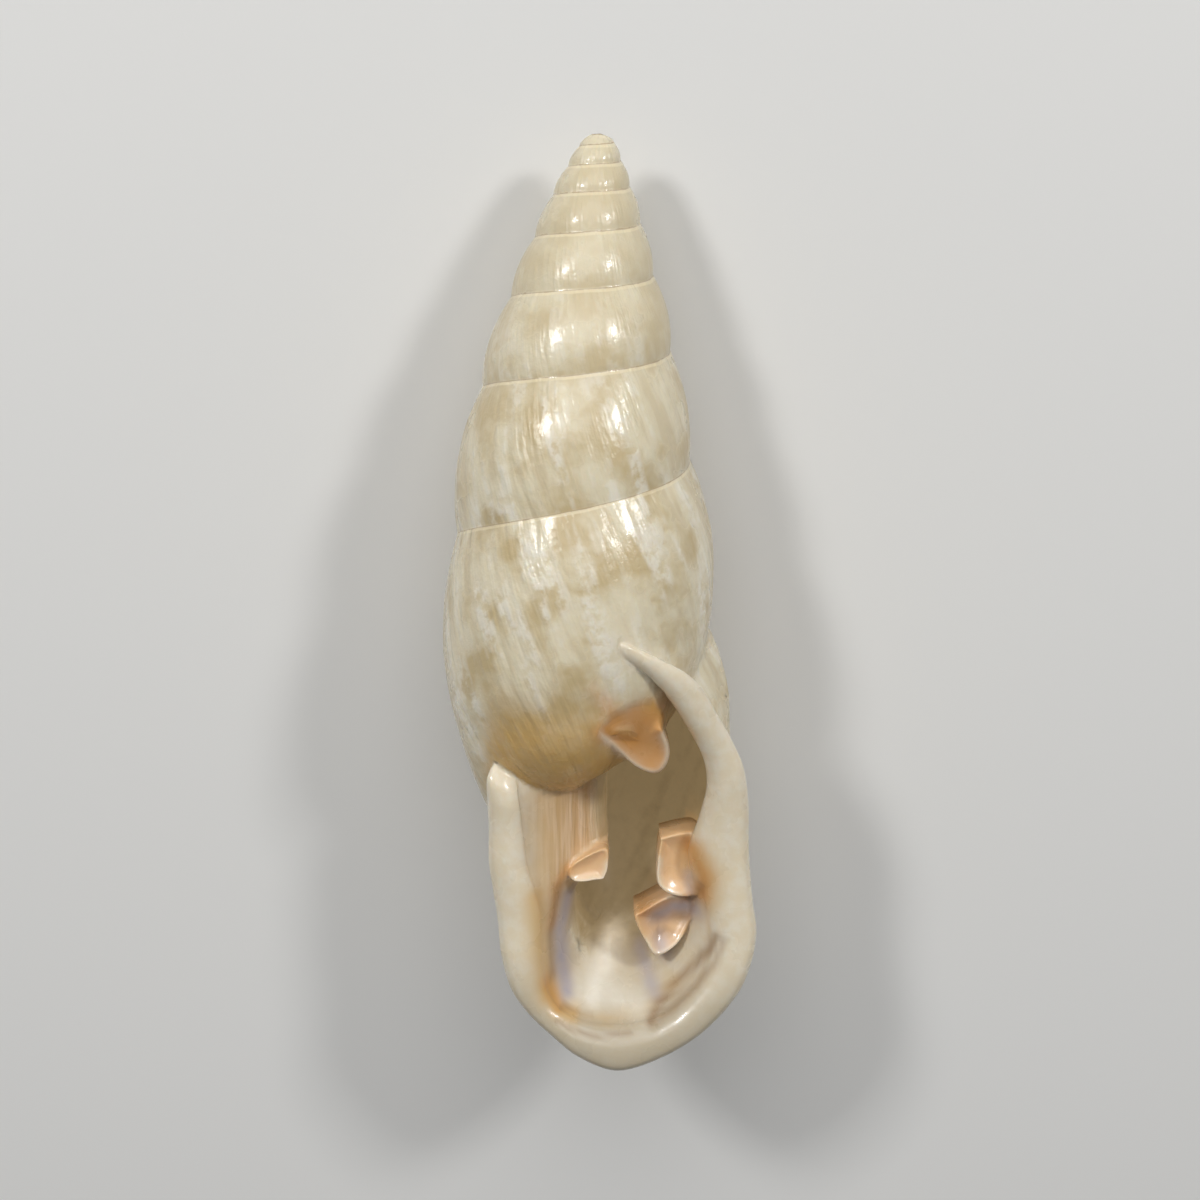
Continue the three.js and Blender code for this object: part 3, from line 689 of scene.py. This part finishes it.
def distance_to(path, x, drop):
    """Distance in the X and drop plane to a path."""
    here = np.stack([x, drop], 1)
    best = np.full(len(here), 1e9)
    path = np.array(path, float)
    for a, b in zip(path, path[1:]):
        along = np.clip((here - a) @ (b - a) / max((b - a) @ (b - a), 1e-9), 0, 1)
        best = np.minimum(best, np.linalg.norm(here - a - along[:, None] * (b - a), axis=1))
    return best


def smoothstep(low, high, value):
    """Smoothly from 0 at low to 1 at high."""
    f = np.clip((value - low) / (high - low), 0, 1)
    return f * f * (3 - 2 * f)


def lumps(points, scale, seed):
    """Smooth noise at points, about -1 to 1."""
    return np.array([noise.noise(Vector(p) * scale + Vector((seed, 0, 0))) for p in points])


def across_lip(points, lip_points, lip_across):
    """How far across the lip each point is, from its nearest point on the swept lip."""
    tree = KDTree(len(lip_points))
    for i, p in enumerate(lip_points):
        tree.insert(p, i)
    tree.balance()
    return lip_across[[tree.find(p)[1] for p in points]]


def store(mesh, name, values, kind="FLOAT", domain="POINT"):
    """Keeps values on the mesh for the material."""
    attribute = mesh.attributes.new(name, kind, domain)
    key = "vector" if kind == "FLOAT_VECTOR" else "value"
    attribute.data.foreach_set(key, values.astype(np.float32).ravel())


def fuse_joins(mesh, shares, ends):
    """The mesh's points with its fresh joins rounded, most of all at the soft places."""
    joined = np.max(shares, axis=0) < 0.99
    points = blur(vertices(mesh), ends, JOIN_PASSES, steps_from(joined, ends, 4))
    x, drop, z = unplace(points).T
    soft = (1 - smoothstep(0.5, 1.3, distance_to(HIDDEN_SEAM, x, drop))) * (z > 2.5)
    near_join = steps_from(joined, ends, 12) > 0
    for at_x, at_drop, half_x, half_drop, low, high in SOFT_PLACES:
        away = np.hypot((x - at_x) / half_x, (drop - at_drop) / half_drop)
        here = (1 - smoothstep(0.5, 1, away)) * near_join * (z > low) * (z < high)
        soft = np.maximum(soft, here)
    return blur(points, ends, SOFT_PASSES, soft)


def between_seams(corners, grown, source):
    """The turn that each face is on, and how far each corner is below its upper seam."""
    centres = np.stack([np.bincount(corners.face, grown[corners.vertex, k]) for k in range(3)], 1)
    centres /= np.bincount(corners.face)[:, None]
    part = np.arctan2(centres[:, 2], centres[:, 0]) / TAU % 1
    seam_drops = np.stack([rows(SEAM, part + n)[:, 1] for n in range(FIRST_TURN, 7)], 1)
    turn = np.minimum((seam_drops < centres[:, 1:2]).sum(1) + FIRST_TURN - 1, LAST_TURN)
    corner = grown[corners.vertex]
    angle = np.arctan2(corner[:, 2], corner[:, 0]) / TAU
    angle = part[corners.face] + (angle - part[corners.face] + 0.5) % 1 - 0.5
    along = np.clip(turn[corners.face] + angle, FIRST_TURN, 6.95)
    below = corner[:, 1] - rows(SEAM, along)[:, 1]
    outer = (source == OUTSIDE)[corners.face]
    return turn, np.where(outer, np.maximum(below, 0), FAR_FROM_SEAM)


def relief(grown, rough, smooth):
    """Height of lumps and wrinkles in mm, where the shell is rough and where the lip is smooth."""
    x, drop, z = grown.T
    coarse = smoothstep(6, 26, drop)
    theta = np.arctan2(z, x) + 0.04 * drop
    ribs = np.stack([7 * np.cos(theta), 7 * np.sin(theta), drop * 0.14], 1)
    near_lip = smoothstep(-1.3, -0.2, np.arctan2(z, x)) * (x > 0) * smoothstep(25, 30, drop)
    height = rough * coarse * (LUMP * lumps(grown, 0.45, 3) + RIB * lumps(ribs, 1, 11))
    height += rough * near_lip * FRILL * lumps(ribs, 1.9, 23)
    height += smooth * LIP_LUMP * lumps(grown, 0.5, 5)
    return height


def marked(marks, x, drop, widen=1.0):
    """How strong one kind of mark is at each point."""
    level = np.zeros(len(x))
    for strength, width, path in marks:
        away = distance_to(path, x, drop)
        level = np.maximum(level, strength * np.exp(-((away / width / widen) ** 2)))
    return level


def finish_surface(mesh, lips, lip_across, wrinkle):
    """Fuses the joins, adds lumps, growth wrinkles and grooves, and stores what the material reads."""
    source = face_sources(mesh)
    corners = Corners(mesh)
    count = len(mesh.vertices)
    ends = edges(mesh)
    shares = [corners.share(source == kind, count) for kind in SOURCES]
    points = fuse_joins(mesh, shares, ends)
    mesh.vertices.foreach_set("co", points.astype(np.float32).ravel())
    mesh.update()
    normals = np.empty(count * 3, np.float32)
    mesh.vertex_normals.foreach_get("vector", normals)
    grown = unplace(points)
    x, drop, z = grown.T
    turn, below = between_seams(corners, grown, source)

    # zones: the neck, the smooth lip, its throat, the mouth, the callus and all that faces front
    on_lip = shares[LIP] > 0
    across = np.full(count, DEEP_INSIDE)
    across[on_lip] = across_lip(points[on_lip], np.concatenate(lips.points), lip_across)
    neck = shares[LIP] * (1 - smoothstep(*NECK_TO_LIP, across))
    enamel = shares[LIP] * smoothstep(*NECK_TO_LIP, across)
    inner = enamel * smoothstep(*LIP_TO_THROAT, across)
    mouth = np.clip(enamel + shares[TOOTH] + shares[INSIDE], 0, 1)
    callus = shares[OUTSIDE] * smoothstep(26.5, 30.5, drop) * smoothstep(0.5, 3, z)
    callus *= 1 - smoothstep(4.6, 5.6, x)
    callus *= smoothstep(-5.6, -4.2, x)
    front = np.clip(mouth + callus, 0, 1) * smoothstep(-3.6, -2.4, z)

    height = relief(grown, shares[OUTSIDE] * (1 - callus) + neck, enamel * (1 - inner))
    height -= GROOVE_DEPTH * marked(MARKS["brown"], x, drop, GROOVE_WIDEN) * front
    points = lay(points + normals.reshape(-1, 3) * (height * wrinkle)[:, None])
    points[:, 2] = np.maximum(points[:, 2], 0)
    mesh.vertices.foreach_set("co", points.astype(np.float32).ravel())

    # stains and lines, with the painted shadow and painted shade among the marks
    stains_and_shade = {name: marked(marks, x, drop) * front for name, marks in MARKS.items()}
    # the callus gets darker towards the mouth
    stains_and_shade["ochre"] = np.maximum(stains_and_shade["ochre"] * (1 - callus), callus * smoothstep(27, 33, drop))
    # the dark inside colour goes on the hollows and on the lip's inner slope where it turns deep: partly the
    # shell's own colour, partly painted shade of the cavity
    deep = np.maximum(shares[INSIDE], inner * (1 - smoothstep(-1.2, 0.3, z)))
    wall = inner * smoothstep(33.5, 35, drop) * (1 - smoothstep(39.6, 41.5, drop))
    wall *= 1 - smoothstep(1.5, 2.2, x)
    store(mesh, "grown", grown, "FLOAT_VECTOR")
    store(mesh, "turn", turn, domain="FACE")
    store(mesh, "below", below, domain="CORNER")
    for name, level, passes in (
        ("enamel", np.clip(enamel + shares[TOOTH], 0, 1), 3), ("tooth", shares[TOOTH], 2),
        ("rim", shares[TOOTH] * rim_of_teeth(x, drop), 1), ("deep", deep, 3), ("wall", wall, 2),
        ("inner", inner, 2),
    ):
        store(mesh, name, blur(level, ends, passes))
    for name, level in stains_and_shade.items():
        store(mesh, name, level)


def rim_of_teeth(x, drop):
    """1 along the free edges of the teeth, 0 in the middle of their faces."""
    level = np.zeros(len(x))
    for name, (first, last) in FREE_EDGES.items():
        outline = smooth_loop(np.array(TEETH[name][0]), TOOTH_PARTS)
        edge = outline[first * TOOTH_PARTS:last * TOOTH_PARTS + 1]
        level = np.maximum(level, 1 - smoothstep(0.1, 0.45, distance_to(edge, x, drop)))
    return level


def grow_shell(settings):
    """The whole shell as one mesh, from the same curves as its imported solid."""
    base = whorls(WHORL_END, WHORL_STEPS).build("grown", OUTSIDE)
    lips, lip_across = lip(LIP_STEPS, LIP_PARTS)
    # each hollow goes a little past the flat end that it opens
    last_hollow = hollow(PARIETAL_END - 0.15, WHORL_END + 0.06, WALL, HOLLOW_STEPS)
    inner_hollow = hollow(HOLLOW_START, PARIETAL_END + 0.04, INNER_WALL, INNER_HOLLOW_STEPS)
    parts = [
        (last_hollow.build("hollow", INSIDE), "DIFFERENCE"),
        (pillar_hollow().build("pillar", INSIDE), "DIFFERENCE"),
        (whorls(PARIETAL_END, WHORL_STEPS).build("parietal", OUTSIDE), "UNION"),
        (lips.build("lip", LIP), "UNION"),
    ]
    for name, numbers in TEETH.items():
        parts.append((tooth(*numbers).build(name, TOOTH), "UNION"))
    parts.append((inner_hollow.build("inner_hollow", INSIDE), "DIFFERENCE"))
    mesh = combine(base, parts)
    clean(mesh)
    finish_surface(mesh, lips, lip_across, settings.wrinkles)
    mesh.polygons.foreach_set("use_smooth", np.ones(len(mesh.polygons), bool))
    mesh.polygons.foreach_set("material_index", np.zeros(len(mesh.polygons), np.int32))
    mesh.materials.clear()
    mesh.materials.append(shell_material(settings))
    mesh.update()
    obj = bpy.data.objects.new("shell_fine", mesh)
    bpy.context.scene.collection.objects.link(obj)
    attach(obj, "root")
    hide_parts("shell")


class Value:
    """A number socket that can be written in sums."""

    def __init__(self, tree, socket):
        self.tree, self.socket = tree, socket

    def math(self, operation, *others, **settings):
        """The result of a sum that Blender does."""
        values = dict(enumerate((self, *others)))
        node = self.tree.node("ShaderNodeMath", values, operation=operation, **settings)
        return Value(self.tree, node.outputs[0])

    def __add__(self, other):
        return self.math("ADD", other)

    def __sub__(self, other):
        return self.math("SUBTRACT", other)

    def __rsub__(self, other):
        return (self * -1) + other

    def __mul__(self, other):
        return self.math("MULTIPLY", other)

    __radd__, __rmul__ = __add__, __mul__

    def sin(self):
        return self.math("SINE")

    def cos(self):
        return self.math("COSINE")

    def clamp(self):
        """Kept between 0 and 1."""
        return self.math("ADD", 0, use_clamp=True)

    def step(self, low, high):
        """Smoothly from 0 at low to 1 at high."""
        sockets = {"Value": self, "From Min": low, "From Max": high}
        node = self.tree.node("ShaderNodeMapRange", sockets, interpolation_type="SMOOTHSTEP")
        return Value(self.tree, node.outputs["Result"])


class Tree:
    """Builds a material's nodes."""

    def __init__(self, name):
        self.material = bpy.data.materials.new(name)
        self.material.use_nodes = True
        self.nodes = self.material.node_tree.nodes
        self.nodes.clear()

    def node(self, kind, sockets, **settings):
        """One node: its type, what its sockets get and its settings."""
        node = self.nodes.new(kind)
        for name, setting in settings.items():
            setattr(node, name, setting)
        for name, value in sockets.items():
            socket = node.inputs[name]
            if isinstance(value, Value):
                value = value.socket
            if isinstance(value, bpy.types.NodeSocket):
                self.material.node_tree.links.new(value, socket)
            else:
                socket.default_value = value
        return node

    def number(self, name):
        """A number stored on the mesh."""
        return Value(self, self.node("ShaderNodeAttribute", {}, attribute_name=name).outputs["Fac"])

    def split(self, vector):
        """A vector's three numbers."""
        return [Value(self, out) for out in self.node("ShaderNodeSeparateXYZ", {0: vector}).outputs]

    def vector(self, x, y, z):
        """A vector from three numbers."""
        return self.node("ShaderNodeCombineXYZ", {0: x, 1: y, 2: z}).outputs[0]

    def noise(self, vector, scale, detail, roughness):
        """Cloudy noise, about 0.5 in the middle."""
        sockets = {"Vector": vector, "Scale": scale, "Detail": detail, "Roughness": roughness}
        return Value(self, self.node("ShaderNodeTexNoise", sockets).outputs["Fac"])

    def mix(self, factor, a, b):
        """From one colour to another."""
        a, b = (c if isinstance(c, bpy.types.NodeSocket) else (*c, 1) for c in (a, b))
        return self.node("ShaderNodeMix", {0: factor, 6: a, 7: b}, data_type="RGBA").outputs[2]

    def surface(self, **sockets):
        """The finished shader: socket names with an underscore for each space."""
        names = {name.replace("_", " "): value for name, value in sockets.items()}
        shader = self.node("ShaderNodeBsdfPrincipled", names)
        self.node("ShaderNodeOutputMaterial", {"Surface": shader.outputs[0]})
        return self.material


def shell_material(settings):
    """Glossy, slightly translucent shell: streaked outside, smooth enamel lip, stained mouth with painted
    shade, and a painted glow in its depth.
    """
    tree = Tree("shell")
    grown = tree.node("ShaderNodeAttribute", {}, attribute_name="grown").outputs["Vector"]
    x, drop, z = tree.split(grown)
    turn, below = tree.number("turn"), tree.number("below")
    enamel, tooth, rim = (tree.number(name) for name in ("enamel", "tooth", "rim"))
    deep, wall, inner = (tree.number(name) for name in ("deep", "wall", "inner"))
    ochre, orange, purple, brown, white = (
        tree.number(name) for name in ("ochre", "orange", "purple", "brown", "white")
    )
    outside = (1 - enamel - deep).clamp()
    coarse = drop.step(2, 20)

    # growth lines lean over, later at the bottom of a whorl
    theta = z.math("ARCTAN2", x) + drop * 0.05
    growth = tree.vector(theta.cos(), theta.sin(), drop * 0.035 + turn * 3.7)
    streaks = tree.noise(growth, 5, 2, 0.5)
    wrinkles = tree.noise(growth, 11, 2, 0.5)
    patches = tree.noise(grown, 0.38, 3, 0.55)
    mottle = tree.noise(grown, 1.3, 3, 0.6)

    clouds = patches.step(0.38, 0.66) * (0.45 + coarse * 0.55)
    color = tree.mix(clouds, settings.cream, settings.grey)
    pale = (streaks.step(0.48, 0.64) * mottle.step(0.36, 0.6) * coarse).clamp()
    color = tree.mix(pale * 0.75, color, settings.pale)
    tan = (streaks.step(0.48, 0.34) * patches.step(0.56, 0.4) * coarse * 0.35).clamp()
    color = tree.mix(tan, color, settings.tan)
    uneven = below + mottle * 0.12 - 0.06
    color = tree.mix(uneven.step(0.24, 0.16) * 0.55, color, settings.thread)
    # painted shade: a dark line in the crease right under each seam
    color = tree.mix(uneven.step(0.07, 0.02) * 0.5, color, settings.brown)

    lip_color = tree.mix(mottle.step(0.35, 0.7) * 0.5, settings.lip, settings.pale)
    # painted shade: the lower lip, which faces down, is darkened towards its bottom, and the lip's inner
    # slope is greyed a little and darkened further the deeper it goes
    lip_color = tree.mix(drop.step(43, 48) * 0.7, lip_color, settings.shade)
    lip_color = tree.mix(inner * (0.3 + z.step(1.5, -1.5) * 0.5), lip_color, settings.shade)
    color = tree.mix(enamel, color, lip_color)
    stripes = tree.noise(tree.vector(x * 3.4, drop * 0.22, z * 0.4), 1, 2, 0.5)
    wall_color = tree.mix(stripes.step(0.4, 0.62), settings.wall, settings.pink)
    color = tree.mix(wall * 0.9, color, wall_color)
    # the depth of the mouth: dark taupe, partly the shell's own colour and partly painted shade of the
    # cavity
    color = tree.mix(deep, color, tree.mix(mottle, settings.inside, settings.inside_clouds_and_glow))
    face = tree.mix(drop.step(34.5, 36) * 0.8 + mottle * 0.2, settings.orange, settings.peach)
    # painted shade: the middle of each tooth's dished face is more orange and darker than its edge
    face = tree.mix((1 - rim) * 0.35, face, settings.orange)
    color = tree.mix(tooth * 0.85, color, face)
    wobble = mottle * 0.6 + 0.7
    color = tree.mix((ochre * wobble).clamp() * 0.9, color, settings.ochre)
    color = tree.mix((orange * wobble).clamp(), color, settings.orange)
    color = tree.mix((white * wobble).clamp(), color, settings.pale)
    color = tree.mix((purple * wobble).clamp(), color, settings.purple)
    color = tree.mix(brown, color, settings.brown)
    color = tree.mix(rim * 0.75, color, settings.rim)

    roughness = 0.24 + patches.step(0.35, 0.7) * 0.1 + deep * 0.2
    height = (streaks * 0.35 + wrinkles * 0.5) * (0.35 + coarse * 0.65) * outside
    height = height + mottle * 0.15 * (0.4 + outside) + stripes * wall * 0.4
    bump = tree.node("ShaderNodeBump", {"Height": height, "Strength": 1.0, "Distance": settings.relief})
    # painted light: the depth of the mouth glows faintly in clouds and streaks, though no lamp is there
    painted_glow = deep * (1 - purple) * (0.35 + mottle * 0.4 + streaks * 0.9)
    painted_glow = tree.mix(painted_glow.clamp(), (0, 0, 0), settings.inside_clouds_and_glow)
    return tree.surface(
        Base_Color=color, Roughness=roughness, Normal=bump.outputs[0],
        Emission_Color=painted_glow, Emission_Strength=0.6,
        Subsurface_Weight=settings.glow, Subsurface_Radius=(1.0, 0.7, 0.4), Subsurface_Scale=0.0006,
        Coat_Weight=0.25, Coat_Roughness=0.08, IOR=1.5,
    )


def shell_paint(name, description, shade):
    """A colour that a user can change, from its hex code."""
    rgb = tuple(int(shade[k:k + 2], 16) / 255 for k in (0, 2, 4))
    linear = tuple(c / 12.92 if c <= 0.04045 else ((c + 0.055) / 1.055) ** 2.4 for c in rgb)
    return bpy.props.FloatVectorProperty(
        name=name, description=description, subtype="COLOR", size=3, min=0, max=1, default=linear)


class ShellSettings(bpy.types.PropertyGroup):
    """Looks of the shell."""

    cream: shell_paint("Cream", "Main colour of the whorls", "E2D7BA")
    grey: shell_paint("Grey", "Cloudy patches on the whorls", "C8B48A")
    pale: shell_paint("Pale streaks", "White streaks along the growth lines", "EEE8D8")
    tan: shell_paint("Tan streaks", "Darker streaks along the growth lines", "B0935F")
    thread: shell_paint("Seam thread", "Fine pale thread under each seam", "F2E4C2")
    lip: shell_paint("Lip", "Smooth rolled lip", "E6D8BC")
    # painted shade of the lip's downward bottom and of its inner slope towards the depth
    shade: shell_paint("Lip, inside", "Duller inner slope of the lip", "B4A78E")
    # also the painted shadow beside the top of the lip
    ochre: shell_paint("Ochre", "Callus beside the mouth", "D6AB60")
    orange: shell_paint("Orange", "Stains at the roots of the teeth", "D2903F")
    peach: shell_paint("Peach", "Faces of the teeth", "F6D2A4")
    rim: shell_paint("Rim", "Edges of the teeth", "F2E2CA")
    wall: shell_paint("Columella", "Wall left of the opening", "D2AC7C")
    pink: shell_paint("Columella stripes", "Stripes down that wall", "E6C8A4")
    # dark taupe of the depth: partly the shell's own colour, partly painted shade of the cavity
    inside: shell_paint("Inside", "Depth of the mouth", "77664A")
    # lighter clouds in the depth of the mouth, and the colour of its painted glow
    inside_clouds_and_glow: shell_paint("Inside, light", "Lighter clouds in the depth", "8A7858")
    # also part of the painted shade on the lower palatal tooth
    purple: shell_paint("Purple", "Purple stains in the mouth", "B0A9B0")
    # also painted shade: the dark line along each seam and part of the darkening of the lower palatal tooth
    brown: shell_paint("Brown", "Lines and cracks", "8A6238")
    glow: bpy.props.FloatProperty(
        name="Translucency", description="How much light passes through the shell", subtype="FACTOR",
        min=0, max=1, default=0.15)
    wrinkles: bpy.props.FloatProperty(
        name="Wrinkles", description="Height of lumps and wrinkles, 1 as grown", min=0, max=3, default=1)
    relief: bpy.props.FloatProperty(
        name="Fine relief", description="Height of the finest growth lines", subtype="DISTANCE",
        unit="LENGTH", min=0, max=0.001, default=0.00026)


class StageSettings(bpy.types.PropertyGroup):
    """The plain studio round the shell."""

    floor: shell_paint("Floor", "Plain surface that the shell lies on", "E6E5E2")
    floor_size: bpy.props.FloatProperty(
        name="Floor size", description="Side of the floor", subtype="DISTANCE", unit="LENGTH",
        min=0.2, max=10, default=2)
    key: bpy.props.FloatProperty(
        name="Lights", description="Power of the two soft lights", subtype="POWER", unit="POWER",
        min=0, max=100, default=0.29)
    top: bpy.props.FloatProperty(
        name="Top light", description="Power of the wide light over the apex", subtype="POWER", unit="POWER",
        min=0, max=100, default=0.65)
    fill: bpy.props.FloatProperty(
        name="Fill", description="Strength of the even light all round", min=0, max=5, default=0.17)


def soft_light(name, at, size, power):
    """A square light that faces the middle of the shell."""
    light = bpy.data.lights.new(name, "AREA")
    light.size = size
    light.energy = power
    obj = bpy.data.objects.new(name, light)
    obj.location = at
    obj.rotation_euler = (Vector(SHELL_MIDDLE) - Vector(at)).to_track_quat("-Z", "Y").to_euler()
    bpy.context.scene.collection.objects.link(obj)


def add_camera():
    """The eye of the photograph, carried along as the shell is laid down."""
    camera = bpy.data.cameras.new("camera")
    camera.lens = LENS
    camera.sensor_width = 36
    camera.clip_start = 0.01
    obj = bpy.data.objects.new("camera", camera)
    target = np.array(EYE_TARGET)
    eye = target + EYE_DISTANCE * np.array([0, math.sin(EYE_TILT), math.cos(EYE_TILT)])
    eye, target, up = (Vector(p) for p in lay([eye, target, target + (0, 10, 0)]))
    back = (eye - target).normalized()
    side = (up - target).cross(back).normalized()
    turn = Matrix((side, back.cross(side), back)).transposed().to_4x4()
    obj.matrix_world = Matrix.Translation(eye) @ turn
    bpy.context.scene.collection.objects.link(obj)
    bpy.context.scene.camera = obj


class SHELL_OT_grow(bpy.types.Operator):
    """Grow the shell with its material"""

    bl_idname = "shell.grow"
    bl_label = "Grow shell"

    def execute(self, context):
        grow_shell(context.scene.shell_settings)
        return {"FINISHED"}


class SHELL_OT_stage(bpy.types.Operator):
    """Add the floor, the lights and the camera"""

    bl_idname = "shell.stage"
    bl_label = "Set stage"

    def execute(self, context):
        settings = context.scene.shell_stage
        half = settings.floor_size / 2
        mesh = bpy.data.meshes.new("floor")
        corners = [(-half, -half, 0), (half, -half, 0), (half, half, 0), (-half, half, 0)]
        mesh.from_pydata(corners, [], [(0, 1, 2, 3)])
        mesh.materials.append(Tree("floor").surface(Base_Color=(*settings.floor, 1), Roughness=0.75))
        floor = bpy.data.objects.new("floor", mesh)
        context.scene.collection.objects.link(floor)
        world = bpy.data.worlds.new("studio")
        world.use_nodes = True
        sky = world.node_tree.nodes["Background"]
        sky.inputs["Color"].default_value = (0.95, 0.97, 1, 1)
        sky.inputs["Strength"].default_value = settings.fill
        context.scene.world = world
        soft_light("left", (-0.15, 0.15, 0.2), 0.045, settings.key)
        soft_light("right", (0.18, 0.15, 0.2), 0.045, settings.key)
        soft_light("top", (0, 0.32, 0.34), 0.35, settings.top)
        context.scene.view_settings.view_transform = "Standard"
        add_camera()
        return {"FINISHED"}


class SHELL_PT_panel(bpy.types.Panel):
    """Everything that builds the shell"""

    bl_idname = "SHELL_PT_panel"
    bl_label = "Land snail shell"
    bl_space_type = "VIEW_3D"
    bl_region_type = "UI"
    bl_category = "Shell"

    def draw(self, context):
        for operator, settings in (
            (SHELL_OT_grow, context.scene.shell_settings), (SHELL_OT_stage, context.scene.shell_stage),
        ):
            self.layout.operator(operator.bl_idname)
            for name in settings.__annotations__:
                self.layout.prop(settings, name)


CLASSES = (ShellSettings, StageSettings, SHELL_OT_grow, SHELL_OT_stage, SHELL_PT_panel)


def register():
    for cls in CLASSES:
        bpy.utils.register_class(cls)
    bpy.types.Scene.shell_settings = bpy.props.PointerProperty(type=ShellSettings)
    bpy.types.Scene.shell_stage = bpy.props.PointerProperty(type=StageSettings)


def unregister():
    del bpy.types.Scene.shell_stage
    del bpy.types.Scene.shell_settings
    for cls in reversed(CLASSES):
        bpy.utils.unregister_class(cls)


def main():
    register()
    bpy.ops.shell.grow()
    bpy.ops.shell.stage()


if __name__ == "__main__":
    main()
